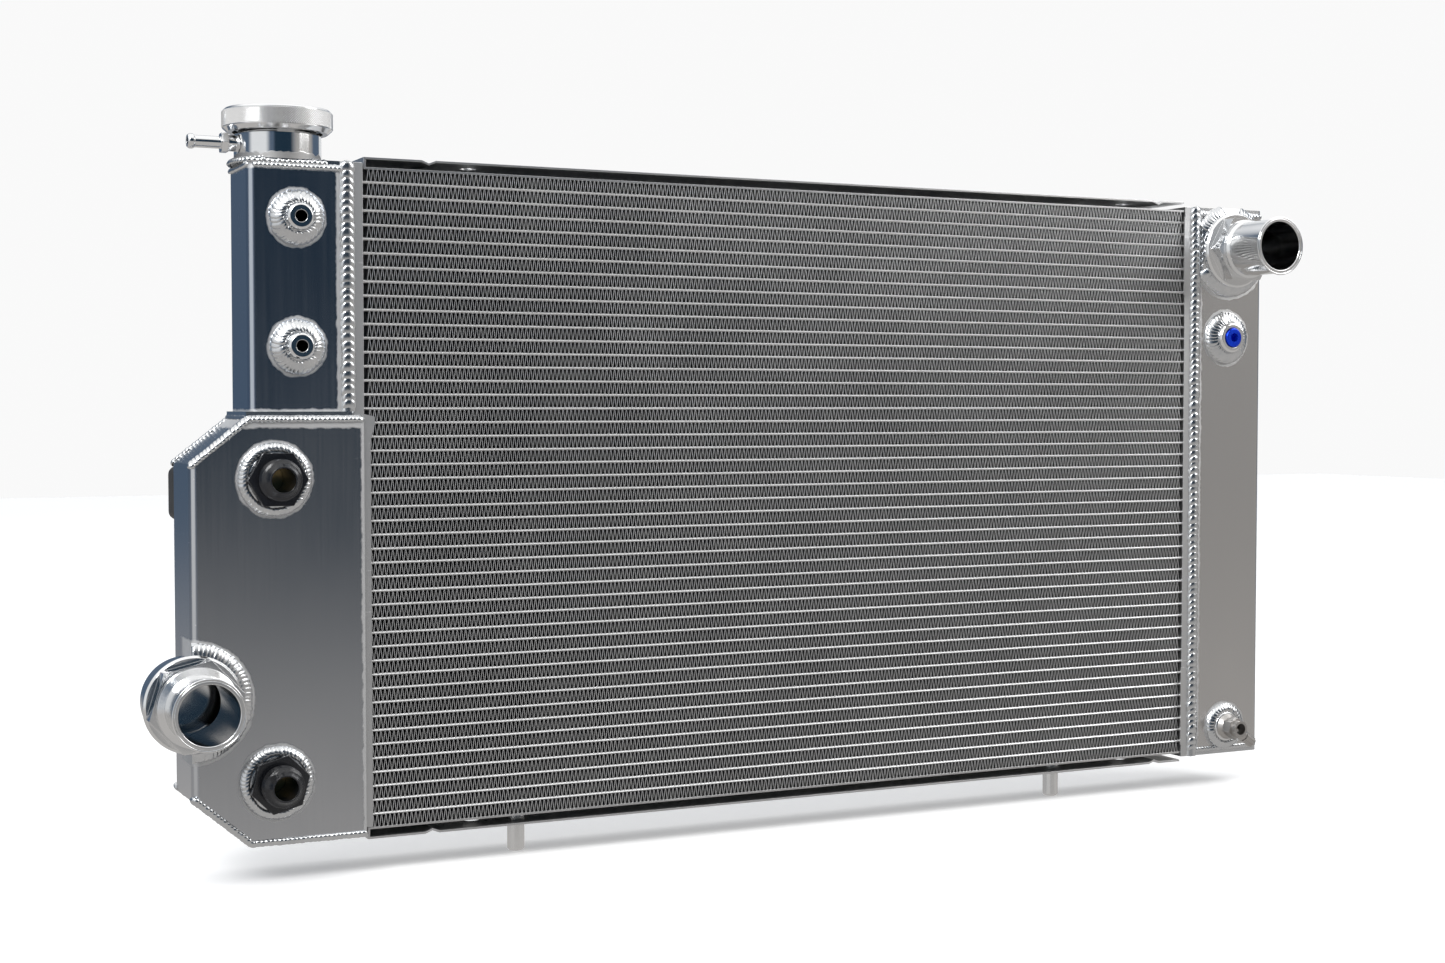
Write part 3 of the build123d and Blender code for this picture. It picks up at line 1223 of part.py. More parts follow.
with BuildPart() as left_tank_welds:
    extrude(seam_plan(LEFT_TANK_WALL, -TANK_EDGE, FRONT, TANK_TOP), amount=-TANK_SHEET)
    for seam_y in (-FRONT, FRONT):
        extrude(long_seam(-1, seam_y, LOWER_TANK_TOP + 3.5),
                amount=TANK_TOP - LOWER_TANK_TOP - 3.5)
write(left_tank_welds, "left_tank_welds")

with BuildPart() as lower_tank_welds:
    for ends in (("top_edge", "top_wall"), ("bottom_edge", "bottom_wall")):
        extrude(bevel_plate(ends, LOWER_SHELL_EDGE, (PLATE_SPAN[0], 0)), amount=PLATE_INSET)
        extrude(bevel_plate(ends, -HEADER_RIM, (-FRONT, 0)), amount=PLATE_INSET)
write(lower_tank_welds, "lower_tank_welds")

with BuildPart() as tank_step_weld:
    with BuildSketch(Plane.XY.offset(LOWER_TANK_TOP)):
        with Locations(((LEFT_TANK_WALL - 3.0 - TANK_EDGE) / 2, -1.75)):
            Rectangle(-TANK_EDGE - LEFT_TANK_WALL + 3.0, TANK_DEPTH + 3.5)
        with Locations(((LEFT_TANK_WALL - TANK_EDGE) / 2, 0)):
            Rectangle(-TANK_EDGE - LEFT_TANK_WALL, TANK_DEPTH, mode=Mode.SUBTRACT)
    extrude(amount=3.5)
write(tank_step_weld, "tank_step_weld")

with BuildPart() as right_tank_welds:
    extrude(seam_plan(RIGHT_TANK_WALL, TANK_EDGE, FRONT, TANK_TOP), amount=-TANK_SHEET)
    extrude(seam_plan(RIGHT_TANK_WALL, TANK_EDGE, FRONT, TANK_BOTTOM), amount=TANK_SHEET)
    for seam_y in (-FRONT, FRONT):
        extrude(long_seam(1, seam_y, TANK_BOTTOM), amount=TANK_TOP - TANK_BOTTOM)
write(right_tank_welds, "right_tank_welds")

NECK_WELD_RADIUS = 33.0
NECK_WELD_HEIGHT = 4.0
with BuildPart() as filler_neck_weld:
    revolve(upright_profile(NECK_X, [
        (NECK_RADIUS, TANK_TOP),
        (NECK_WELD_RADIUS, TANK_TOP),
        (NECK_WELD_RADIUS - 1, TANK_TOP + 0.6 * NECK_WELD_HEIGHT),
        (NECK_RADIUS, TANK_TOP + NECK_WELD_HEIGHT),
    ]), axis=upright_axis(NECK_X))
    with BuildSketch(Plane.XY.offset(TANK_TOP)):
        with Locations(((LEFT_TANK_WALL - HEADER_RIM) / 2, 0)):
            Rectangle(-HEADER_RIM - LEFT_TANK_WALL, TANK_DEPTH)
    extrude(amount=NECK_WELD_HEIGHT, mode=Mode.INTERSECT)
write(filler_neck_weld, "filler_neck_weld")
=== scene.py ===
# %% [markdown]
# # A welded aluminium car radiator
# The radiator is a core of flat tubes and folded fins between two welded end tanks. The CAD model
# already has every part at its real size. Here it gets what a workshop adds: eased edges, finely
# folded fins, rippled weld beads, a knurled cap, cut threads, and a metal finish for each part.

# %% Load the frame
import json
import random
from math import cos, pi, radians, sin

import bpy
from mathutils import Matrix, Vector


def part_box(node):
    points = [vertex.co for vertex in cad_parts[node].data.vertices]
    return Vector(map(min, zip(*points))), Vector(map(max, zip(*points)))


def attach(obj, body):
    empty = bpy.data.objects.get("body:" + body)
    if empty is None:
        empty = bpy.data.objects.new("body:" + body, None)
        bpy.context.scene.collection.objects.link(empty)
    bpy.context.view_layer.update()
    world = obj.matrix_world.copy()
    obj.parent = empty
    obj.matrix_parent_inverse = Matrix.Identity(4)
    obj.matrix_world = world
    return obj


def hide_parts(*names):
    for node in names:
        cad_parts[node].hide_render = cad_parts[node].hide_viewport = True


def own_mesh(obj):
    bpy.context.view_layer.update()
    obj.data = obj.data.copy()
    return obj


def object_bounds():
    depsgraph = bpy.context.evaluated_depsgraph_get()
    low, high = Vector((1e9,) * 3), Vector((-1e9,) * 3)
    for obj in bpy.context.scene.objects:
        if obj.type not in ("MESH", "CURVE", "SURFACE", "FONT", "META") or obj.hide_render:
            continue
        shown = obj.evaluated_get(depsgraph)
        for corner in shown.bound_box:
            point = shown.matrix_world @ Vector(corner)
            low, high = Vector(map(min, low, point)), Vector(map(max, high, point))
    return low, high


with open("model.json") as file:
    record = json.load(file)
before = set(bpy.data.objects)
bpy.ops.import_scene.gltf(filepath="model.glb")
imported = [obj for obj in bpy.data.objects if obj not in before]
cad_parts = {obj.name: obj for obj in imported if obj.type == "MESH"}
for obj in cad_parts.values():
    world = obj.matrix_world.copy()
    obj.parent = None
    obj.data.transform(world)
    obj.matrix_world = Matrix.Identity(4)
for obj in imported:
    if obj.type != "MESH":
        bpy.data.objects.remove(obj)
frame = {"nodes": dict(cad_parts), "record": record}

NODES = frame["nodes"]
BODIES = frame["record"]["behaviour"]["bodies"]
BODY_OF = {node: body for body, members in BODIES.items() for node in members}
SLOT_OF = {row["node"]: row["material_slot"] for row in frame["record"]["subparts"]}
cad_box = [list(corner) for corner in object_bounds()]
MM = 0.001
print("the CAD model has", len(NODES), "nodes and the box", cad_box)

# %% [markdown]
# ## The camera and the light
# The radiator is seen from the engine side and a little from the left, by a 50 mm lens. Bare metal
# is only as good as what it mirrors, so the world is a plain studio: pale all round, with a soft
# light overhead and a dark blue screen in front that the tanks pick up.

# %% The camera
EYE = Vector((-0.7254, -1.3630, 0.2971))
LOOK_DOWN = 2.15
LOOK_RIGHT = 25.88
bpy.ops.object.camera_add(
    location=EYE, rotation=(radians(90 - LOOK_DOWN), 0, radians(-LOOK_RIGHT)))
camera = bpy.context.object
camera.data.lens = 50
camera.data.sensor_width = 36
bpy.context.scene.camera = camera
bpy.context.scene.view_settings.view_transform = "Standard"
print("camera at", tuple(round(value, 3) for value in camera.location))


# %% [markdown]
# ## Writing materials as sums
# A material is a small formula: how rough, how bright and how bumpy the metal is at each place. A
# class that wraps a node's output and has Python's operators lets such a formula be read as one.

# %% A number that varies over a surface
class Field:
    """The output of a shader node, with Python's operators."""

    def __init__(self, finish, socket):
        self.finish = finish
        self.socket = socket

    def math(self, operation, *others, clamp=False):
        return self.finish.node("ShaderNodeMath", {"operation": operation, "use_clamp": clamp},
                                {index: value for index, value in enumerate((self, *others))})

    def __add__(self, other):
        return self.math("ADD", other)

    def __sub__(self, other):
        return self.math("SUBTRACT", other)

    def __mul__(self, other):
        return self.math("MULTIPLY", other)

    def __truediv__(self, other):
        return self.math("DIVIDE", other)

    def __rsub__(self, other):
        return self.finish.node("ShaderNodeMath", {"operation": "SUBTRACT"}, {0: other, 1: self})

    __radd__ = __add__
    __rmul__ = __mul__

    def absolute(self):
        return self.math("ABSOLUTE")

    def most(self, other):
        return self.math("MAXIMUM", other)

    def above(self, level, softness):
        """0 well below the level, 1 well above it, with a soft step between."""
        return self.math("SUBTRACT", level).math("MULTIPLY_ADD", 1 / softness, 0.5, clamp=True)


# %% A material under construction
class Finish:
    """A node tree that starts as one Principled surface."""

    def __init__(self, name, metallic, **constants):
        self.material = bpy.data.materials.new(name)
        self.material.use_nodes = True
        self.tree = self.material.node_tree
        self.surface = self.tree.nodes["Principled BSDF"]
        self.surface.inputs["Metallic"].default_value = metallic
        for socket, value in constants.items():
            self.surface.inputs[socket.replace("_", " ")].default_value = value

    def node(self, kind, settings=(), sockets=(), output=0):
        made = self.tree.nodes.new(kind)
        for setting, value in dict(settings).items():
            setattr(made, setting, value)
        for socket, value in dict(sockets).items():
            self.feed(made.inputs[socket], value)
        return Field(self, made.outputs[output])

    def feed(self, socket, value):
        if isinstance(value, Field):
            self.tree.links.new(value.socket, socket)
        else:
            socket.default_value = value

    def place(self):
        """Object coordinates, in metres."""
        return self.node("ShaderNodeTexCoord", output="Object")

    def axes(self):
        """The x, y and z of the place, as three numbers."""
        split = self.node("ShaderNodeSeparateXYZ", {}, {0: self.place()})
        return [Field(self, output) for output in split.socket.node.outputs]

    def noise(self, size, stretch=(1, 1, 1), detail=3.0, rough=0.55):
        """Cloudy noise whose blobs are about size metres across, longer where stretch is more."""
        scaled = self.node("ShaderNodeMapping", {}, {
            "Vector": self.place(), "Scale": [1 / (size * factor) for factor in stretch]})
        return self.node("ShaderNodeTexNoise", {}, {
            "Vector": scaled, "Scale": 1.0, "Detail": detail, "Roughness": rough})

    def mix(self, factor, first, second):
        """A colour between two others."""
        made = self.tree.nodes.new("ShaderNodeMix")
        made.data_type = "RGBA"
        self.feed(made.inputs["Factor"], factor)
        self.feed(made.inputs[6], first)
        self.feed(made.inputs[7], second)
        return Field(self, made.outputs[2])

    def bump(self, height, strength, depth):
        """Normals tilted by a height field; depth is its height in metres."""
        return self.node("ShaderNodeBump", {}, {
            "Height": height, "Strength": strength, "Distance": depth})

    def wear(self, colour=None, roughness=None, normal=None):
        """Link what varies to the surface, and give the material back."""
        for socket, value in (("Base Color", colour), ("Roughness", roughness), ("Normal", normal)):
            if value is not None:
                self.feed(self.surface.inputs[socket], value)
        return self.material


def grey(level, warm=0.0):
    """A neutral colour, a little warm or, below zero, a little blue."""
    return (level * (1 + warm), level, level * (1 - warm), 1)


# %% [markdown]
# ## The world
# Camera rays see a plain pale backdrop. Everything else sees the studio, so the metal has something
# to mirror. It is written with the same two classes.

# %% The studio that the metal mirrors
def build_world():
    world = bpy.data.worlds.new("studio")
    bpy.context.scene.world = world
    world.use_nodes = True
    studio = Finish.__new__(Finish)
    studio.tree = world.node_tree
    background = world.node_tree.nodes["Background"]
    toward = studio.node("ShaderNodeTexCoord", output="Generated")
    split = studio.node("ShaderNodeSeparateXYZ", {}, {0: toward})
    x, y, z = [Field(studio, output) for output in split.socket.node.outputs]
    across = x / (x * x + y * y).math("SQRT")
    front = (-1.0 * y).above(0.0, 0.2)
    low = 1 - z.above(-0.13, 0.15)
    screen = across.above(-0.38, 0.10) * (1 - across.above(0.50, 0.26)) * front
    left_box = (1 - across.above(-0.62, 0.16)) * front
    right_wall = across.above(0.50, 0.26) * front
    back_strip = across.above(0.42, 0.08) * (1 - across.above(0.78, 0.08)) * (1 - front)
    room = studio.mix(z.above(0.0, 0.8), (0.045, 0.085, 0.145, 1), (0.12, 0.16, 0.22, 1))
    room = studio.mix(screen, room, (0.014, 0.032, 0.054, 1))
    room = studio.mix(left_box.most(back_strip), room, grey(0.85, -0.02))
    room = studio.mix(right_wall, room, grey(0.38, 0.03))
    room = studio.mix(low, room, grey(0.50, 0.03))
    lit = studio.mix(z.above(0.62, 0.25), room, grey(1.25))
    seen = studio.node("ShaderNodeLightPath", output="Is Camera Ray")
    studio.feed(background.inputs["Color"], studio.mix(seen, lit, grey(0.95)))
    background.inputs["Strength"].default_value = 1.0


build_world()
print("the world has", len(bpy.context.scene.world.node_tree.nodes), "nodes")

# %% Two soft lamps and the floor
def soft_lamp(name, place, aim, size, watts):
    bpy.ops.object.light_add(type="AREA", location=place)
    lamp = bpy.context.object
    lamp.name = name
    lamp.data.size = size
    lamp.data.energy = watts
    lamp.rotation_euler = (Vector(aim) - Vector(place)).to_track_quat("-Z", "Y").to_euler()
    return lamp


centre = (Vector(cad_box[0]) + Vector(cad_box[1])) / 2
soft_lamp("key_lamp", (-1.7, -1.5, 2.0), centre, 1.2, 46)
soft_lamp("fill_lamp", (1.9, -1.2, 1.6), centre, 1.6, 26)

FLOOR_GLOW = 0.2
floor_finish = Finish("pale_floor", 0.0)
floor_tone = floor_finish.noise(0.6)
pale_floor = floor_finish.wear(
    floor_finish.mix(floor_tone, grey(0.90), grey(0.92)), 0.7 + 0.1 * floor_tone)
bpy.ops.mesh.primitive_plane_add(size=12, location=(0, 0, cad_box[0][2] - 0.0002))
floor = bpy.context.object
floor.name = "floor"
floor_finish.surface.inputs["Emission Color"].default_value = grey(1.0)
floor_finish.surface.inputs["Emission Strength"].default_value = FLOOR_GLOW
floor.data.materials.append(pale_floor)
floor.visible_glossy = False
print("floor at", round(floor.location.z, 4))


# %% [markdown]
# ## Tank sheet
# The tanks are bent from mill-finish sheet: a soft mirror with faint rolling lines, a few scratches
# and finger smears. Beside each weld the heat and the wire brush leave a matt, ragged, paler
# border, which is found here from the distance to the seams and rings.

# %% Where the seams are
SEAM_X = 0.3595
UPPER_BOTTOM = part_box("left_upper_tank_shell")[0].z
TANK_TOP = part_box("right_tank_shell")[1].z
FACE = -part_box("right_tank_shell")[0].y
LOWER_FACE = -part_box("left_lower_tank_shell")[0].y


def ring_place(node):
    """The middle of a turned fitting, as (x, z)."""
    low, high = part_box(node)
    return ((low.x + high.x) / 2, (low.z + high.z) / 2)


def near_line(distance, reach, ragged):
    """1 close to a line, 0 away from it, with a ragged edge about reach metres off."""
    return 1 - (distance.absolute() + ragged).above(reach, 0.0012)


def near_ring(finish, middle, radius, reach, ragged):
    """1 on and just outside a ring on the front face."""
    x, y, z = finish.axes()
    away = ((x - middle[0]) * (x - middle[0]) + (z - middle[1]) * (z - middle[1])).math("SQRT")
    return (1 - (away + ragged).above(radius + reach, 0.0012)) * (1 - y.above(0.0, 0.01))


def tank_sheet(name, tone, seams, rings):
    """seams are (axis, place, reach); rings are (middle, radius, reach)."""
    finish = Finish(name, 1.0)
    ragged = (finish.noise(0.006, detail=3.0) - 0.5) * 0.003
    axes = finish.axes()
    axis, place, reach = seams[0]
    etched = near_line(axes[axis] - place, reach, ragged)
    for axis, place, reach in seams[1:]:
        etched = etched.most(near_line(axes[axis] - place, reach, ragged))
    for middle, radius, reach in rings:
        etched = etched.most(near_ring(finish, middle, radius, reach, ragged))
    rolling = finish.noise(0.0016, (1, 1, 60), detail=2.0)
    cloud = finish.noise(0.09, (1, 1, 1.6), detail=4.0)
    scratch = finish.noise(0.0007, (26, 1, 2), detail=0.0).above(0.88, 0.02)
    speckle = finish.noise(0.0009, detail=2.0)
    sheet = finish.mix(cloud, tone, [channel * 0.90 for channel in tone[:3]] + [1])
    sheet = finish.mix(scratch * 0.3, sheet, grey(0.90))
    colour = finish.mix(etched * 0.9, sheet, grey(0.72))
    roughness = 0.11 + 0.10 * cloud + 0.07 * rolling + 0.12 * scratch
    roughness = roughness + etched * (0.30 + 0.16 * speckle)
    height = rolling * 0.35 + etched * speckle * 2.0
    return finish.wear(colour, roughness, finish.bump(height, 0.22, 0.00012))


BUNG_RINGS = [(ring_place(f"{which}_sensor_bung"), 0.0185, 0.0018) for which in ("lower", "upper")]
COOLER_RINGS = [
    (ring_place(f"{which}_cooler_fitting"), 0.0243, 0.0018) for which in ("lower", "upper")]
HOSE_RING = (ring_place("lower_hose_neck"), 0.0400, 0.0016)
RIGHT_RINGS = [
    (ring_place("upper_hose_neck"), 0.0385, 0.0020),
    (ring_place("plug_bung"), 0.0215, 0.0020),
    (ring_place("drain_bung"), 0.0190, 0.0020),
]
upper_sheet = tank_sheet(
    "upper_tank_sheet", (0.52, 0.56, 0.62, 1),
    [(0, -SEAM_X, 0.0075), (2, TANK_TOP, 0.0040), (2, UPPER_BOTTOM, 0.0050)], BUNG_RINGS)
lower_sheet = tank_sheet(
    "lower_tank_sheet", (0.60, 0.61, 0.63, 1),
    [(0, -0.3505, 0.0016), (2, UPPER_BOTTOM - 0.0035, 0.0040)], [*COOLER_RINGS, HOSE_RING])
right_sheet = tank_sheet(
    "right_tank_sheet", (0.66, 0.65, 0.64, 1),
    [(0, SEAM_X, 0.0070), (2, TANK_TOP, 0.0035), (2, 0.004, 0.0035)], RIGHT_RINGS)
print("tank sheets made")


# %% [markdown]
# ## The other metals
# Turned and polished fittings keep fine tool lines. Header plates, rails and tubes are duller. The
# adapters and the plug are anodised. Each is a short function of its own.

# %% Turned, polished aluminium
def polished():
    finish = Finish("polished_fitting", 1.0)
    cloud = finish.noise(0.020, detail=4.0)
    lines = finish.noise(0.0007, (6, 1, 6), detail=1.0)
    nick = finish.noise(0.0016, detail=1.0).above(0.76, 0.03)
    colour = finish.mix(cloud, grey(0.86), grey(0.74, -0.01))
    return finish.wear(colour, 0.06 + 0.10 * cloud + 0.05 * lines + 0.12 * nick,
                       finish.bump(lines + nick, 0.10, 0.00006))


# %% The filler neck, matt where the weld's heat reached it
def heated_neck():
    finish = Finish("heated_neck", 1.0)
    z = finish.axes()[2]
    cloud = finish.noise(0.020, detail=4.0)
    ragged = (finish.noise(0.006, detail=4.0) - 0.5) * 0.006
    burnt = 1 - (z + ragged).above(TANK_TOP + 0.0072, 0.0008)
    grain = finish.noise(0.0006, detail=2.0)
    shine = finish.mix(cloud, grey(0.86), grey(0.76, -0.01))
    return finish.wear(finish.mix(burnt, shine, grey(0.42, 0.01)),
                       0.07 + 0.08 * cloud + burnt * (0.34 + 0.2 * grain),
                       finish.bump(burnt * grain, 0.4, 0.00010))


# %% Weld metal
def weld_metal():
    finish = Finish("weld_metal", 1.0)
    cloud = finish.noise(0.006, detail=3.0)
    grain = finish.noise(0.0006, detail=3.0)
    colour = finish.mix(cloud, grey(0.74), grey(0.58, -0.04))
    return finish.wear(colour, 0.13 + 0.16 * grain, finish.bump(grain, 0.25, 0.00010))


# %% Plain mill aluminium, for plates, rails and tubes
def mill(name, bright, dull, smooth, stretch):
    finish = Finish(name, 1.0)
    cloud = finish.noise(0.05, stretch, detail=5.0)
    grain = finish.noise(0.0008, stretch, detail=2.0)
    scuff = finish.noise(0.0012, (30, 4, 3), detail=0.0).above(0.78, 0.03)
    colour = finish.mix(cloud, bright, dull)
    colour = finish.mix(scuff * 0.6, colour, grey(0.88))
    return finish.wear(colour, smooth + 0.14 * cloud + 0.10 * grain,
                       finish.bump(grain + scuff, 0.20, 0.00008))


# %% Fin strip, with painted shade between the folds and a painted highlight on its edges
def fin_strip():
    finish = Finish("fin_strip", 1.0)
    y = finish.axes()[1]
    cloud = finish.noise(0.07, detail=3.0)
    louvre = ((y * 900.0).math("SINE") * 0.5 + 0.5).above(0.5, 0.3)
    edge = y.absolute().above(0.0262, 0.0008)
    # Painted shade: the fin body is dark grey for the light lost in the narrow gaps between the folds.
    colour = finish.mix(cloud, grey(0.42), grey(0.32, -0.02))
    # Painted highlight: where edge is 1, at the front and back edges of the fins, the colour is
    # near-white.
    colour = finish.mix(edge, colour, grey(0.95))
    return finish.wear(colour, 0.34 + 0.16 * cloud, finish.bump(louvre, 0.35, 0.0002))


# %% Anodised, plated and brass parts, and rubber
def coated(name, colour, darker, metallic, smooth, grain_size=0.0006, depth=0.00005):
    finish = Finish(name, metallic)
    cloud = finish.noise(0.012, detail=4.0)
    grain = finish.noise(grain_size, detail=2.0)
    rubbed = finish.noise(0.003, detail=5.0).above(0.70, 0.06)
    tone = finish.mix(cloud, colour, darker)
    tone = finish.mix(rubbed * 0.25, tone, [min(1.0, channel * 1.6 + 0.03) for channel in colour])
    return finish.wear(tone, smooth + 0.08 * cloud + 0.08 * grain,
                       finish.bump(grain, 0.25, depth))


# %% Which finish each node wears
FINISH_OF_SLOT = {
    "tank_aluminium": right_sheet,
    "header_aluminium": mill("header_plate", grey(0.72), grey(0.60), 0.30, (1, 1, 3)),
    "core_aluminium": mill("tube_cladding", grey(0.86), grey(0.74), 0.26, (8, 1, 1)),
    "fin_aluminium": fin_strip(),
    "rail_aluminium": mill("rail_sheet", grey(0.74), grey(0.62), 0.22, (12, 1, 1)),
    "polished_aluminium": polished(),
    "weld_bead": weld_metal(),
    "black_anodised": coated("black_anodising", (0.006, 0.006, 0.008, 1),
                             (0.010, 0.011, 0.013, 1), 0.0, 0.10),
    "blue_anodised": coated("blue_anodising", (0.004, 0.060, 0.75, 1),
                            (0.003, 0.030, 0.50, 1), 0.75, 0.16),
    "plated_steel": coated("plated_steel", grey(0.52, 0.03), grey(0.40, 0.04), 1.0, 0.26),
    "spring_steel": coated("spring_wire", grey(0.50), grey(0.38), 1.0, 0.24),
    "brass": coated("brass", (0.72, 0.54, 0.26, 1), (0.58, 0.42, 0.20, 1), 1.0, 0.24),
    "rubber": coated("rubber", (0.018, 0.018, 0.018, 1), (0.028, 0.028, 0.028, 1), 0.0, 0.55,
                     0.0008, 0.00012),
}
SHEET_OF_NODE = {node: upper_sheet for node in NODES if node.startswith("left_upper_tank")}
SHEET_OF_NODE["filler_neck"] = heated_neck()
SHEET_OF_NODE.update({node: lower_sheet for node in NODES if node.startswith("left_lower_tank")})


def finish_for(node):
    return SHEET_OF_NODE.get(node, FINISH_OF_SLOT[SLOT_OF[node]])


for name, piece in NODES.items():
    piece.data.materials.clear()
    piece.data.materials.append(finish_for(name))
print("finishes:", sorted(material.name for material in bpy.data.materials))


# %% [markdown]
# ## Easing the edges
# No real edge is perfectly sharp, and it is the eased edge that catches the light. Each visible hard
# part is copied from its CAD node, its loose triangles are merged, and a small bevel is cut along
# every corner. The copy stands for the node.

# %% Helpers for modelling by hand
def select_only(piece):
    bpy.ops.object.select_all(action="DESELECT")
    piece.select_set(True)
    bpy.context.view_layer.objects.active = piece


def apply_modifier(piece, kind, **settings):
    select_only(piece)
    modifier = piece.modifiers.new(kind.lower(), kind)
    for setting, value in settings.items():
        setattr(modifier, setting, value)
    bpy.ops.object.modifier_apply(modifier=modifier.name)


def finish_piece(piece, name, node, smooth_angle=35, material=None):
    """Name a new piece, give it the finish and body of a CAD node, and smooth it."""
    select_only(piece)
    bpy.ops.object.transform_apply(location=True, rotation=True, scale=True)
    bpy.ops.object.shade_smooth_by_angle(angle=radians(smooth_angle))
    piece.name = name
    piece.data.name = name
    piece.data.materials.clear()
    piece.data.materials.append(material or finish_for(node))
    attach(piece, BODY_OF[node])
    return piece


# %% Ease one part
def eased(node, width, segments=2):
    piece = NODES[node].copy()
    piece.data = NODES[node].data.copy()
    piece.parent = None
    for key in list(piece.keys()):
        del piece[key]
    bpy.context.scene.collection.objects.link(piece)
    select_only(piece)
    bpy.ops.object.mode_set(mode="EDIT")
    bpy.ops.mesh.select_all(action="SELECT")
    bpy.ops.mesh.remove_doubles(threshold=0.00001)
    bpy.ops.mesh.dissolve_limited(angle_limit=radians(0.6))
    bpy.ops.object.mode_set(mode="OBJECT")
    apply_modifier(piece, "BEVEL", width=width * MM, segments=segments, limit_method="ANGLE",
                   angle_limit=radians(40), use_clamp_overlap=True)
    finish_piece(piece, node + "_eased", node)
    apply_modifier(piece, "WEIGHTED_NORMAL", keep_sharp=True)
    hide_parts(node)
    return piece


EASED = {
    "bottom_side_rail": 0.5, "top_side_rail": 0.5,
    "left_locating_pin": 0.6, "right_locating_pin": 0.6,
    "left_header_plate": 0.3, "right_header_plate": 0.3,
    "left_upper_tank_shell": 0.4, "left_upper_tank_lid": 0.4, "left_lower_tank_shell": 0.5,
    "left_lower_tank_top_plate": 0.5, "left_lower_tank_bottom_plate": 0.5,
    "right_tank_shell": 0.4, "right_tank_top_plate": 0.4, "right_tank_bottom_plate": 0.4,
    "lower_sensor_bung": 0.4, "upper_sensor_bung": 0.4,
    "lower_cooler_bung": 0.3, "upper_cooler_bung": 0.3,
    "lower_cooler_fitting": 0.4, "upper_cooler_fitting": 0.4,
    "lower_hose_bung": 0.5, "lower_hose_neck": 0.6, "upper_hose_bung": 0.5, "upper_hose_neck": 0.6,
    "filler_neck": 0.5, "overflow_barb": 0.3, "cap_shell": 0.5, "plug_bung": 0.4, "port_plug": 0.3,
    "drain_bung": 0.3, "drain_body": 0.3, "drain_needle": 0.2, "drain_knob": 0.3,
    "rear_rubber_pad": 1.5, "cap_backing_plate": 0.2, "cap_pressure_plate": 0.2,
}
for node, width in EASED.items():
    eased(node, width)
print("eased", len(EASED), "parts")

# %% [markdown]
# ## The cap's spring
# The valve presses the spring together as it lifts, while its top stays against the backing plate.
# Here the spring is eased like the other parts and given a mesh of its own.

# %% Ease the spring and give it a mesh of its own
spring = eased("cap_spring", 0.05)
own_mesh(spring)


# %% [markdown]
# ## Fins
# Between each pair of tubes runs one strip of thin sheet, folded into a close wave. One wave is
# drawn by pulling an edge along step by step, then repeated along the strip, and the strip is
# repeated up the core. Each block of strips is one piece.

# %% Draw one wave and repeat it
FIN_FOLD = 3.06 * MM
FIN_THICK = 0.36 * MM
TUBE_PITCH = 9.6 * MM
FIN_BLOCKS = 4
fin_low, fin_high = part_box("core_fins")
FIN_STRIPS = round((fin_high.z - fin_low.z + 1.8 * MM) / TUBE_PITCH)
FIN_FOLDS = int((fin_high.x - fin_low.x) / FIN_FOLD)
strip_height = (fin_high.z - fin_low.z + 1.8 * MM) / FIN_STRIPS - 1.8 * MM


def select_edge_at(piece, x):
    """Leave only the edge at the given x selected, in edit mode."""
    bpy.ops.mesh.select_mode(type="VERT")
    bpy.ops.mesh.select_all(action="DESELECT")
    bpy.ops.object.mode_set(mode="OBJECT")
    for vertex in piece.data.vertices:
        vertex.select = abs(vertex.co.x - x) < 1e-6
    bpy.ops.object.mode_set(mode="EDIT")
    bpy.ops.mesh.select_mode(type="EDGE")


def fin_block(number, first_strip, strips):
    step = FIN_FOLD / 6
    rise = strip_height / 2 - FIN_THICK / 2
    start_x = (fin_low.x + fin_high.x - FIN_FOLDS * FIN_FOLD) / 2
    start_z = fin_low.z + strip_height / 2 + first_strip * TUBE_PITCH
    bpy.ops.object.select_all(action="DESELECT")
    bpy.ops.mesh.primitive_plane_add(size=1)
    block = bpy.context.object
    bpy.ops.object.mode_set(mode="EDIT")
    bpy.ops.transform.resize(value=(step, fin_high.y - fin_low.y - 0.4 * MM, 1))
    bpy.ops.transform.translate(
        value=(start_x + step / 2, (fin_low.y + fin_high.y) / 2, start_z - rise))
    select_edge_at(block, start_x + step)
    for lift in (rise, rise, 0, -rise, -rise):
        bpy.ops.mesh.extrude_region_move(TRANSFORM_OT_translate={"value": (step, 0, lift)})
    bpy.ops.object.mode_set(mode="OBJECT")
    apply_modifier(block, "ARRAY", count=FIN_FOLDS, use_relative_offset=False,
                   use_constant_offset=True, constant_offset_displace=(FIN_FOLD, 0, 0),
                   use_merge_vertices=True, merge_threshold=0.00001)
    apply_modifier(block, "SOLIDIFY", thickness=FIN_THICK, offset=0)
    apply_modifier(block, "ARRAY", count=strips, use_relative_offset=False,
                   use_constant_offset=True, constant_offset_displace=(0, 0, TUBE_PITCH))
    return finish_piece(block, f"fin_strips_{number}", "core_fins", smooth_angle=20)


strips_per_block = -(-FIN_STRIPS // FIN_BLOCKS)
for number in range(FIN_BLOCKS):
    first = number * strips_per_block
    block = fin_block(number + 1, first, min(strips_per_block, FIN_STRIPS - first))
    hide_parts("core_fins")
    print(block.name, "has", len(block.data.polygons), "faces")


# %% [markdown]
# ## Weld beads
# A hand-laid weld is a row of small puddles, each frozen on the edge of the last. One puddle is
# modelled from a sphere, cut off below. It is then copied along every seam and round every bung, on
# top of the plain CAD fillets.

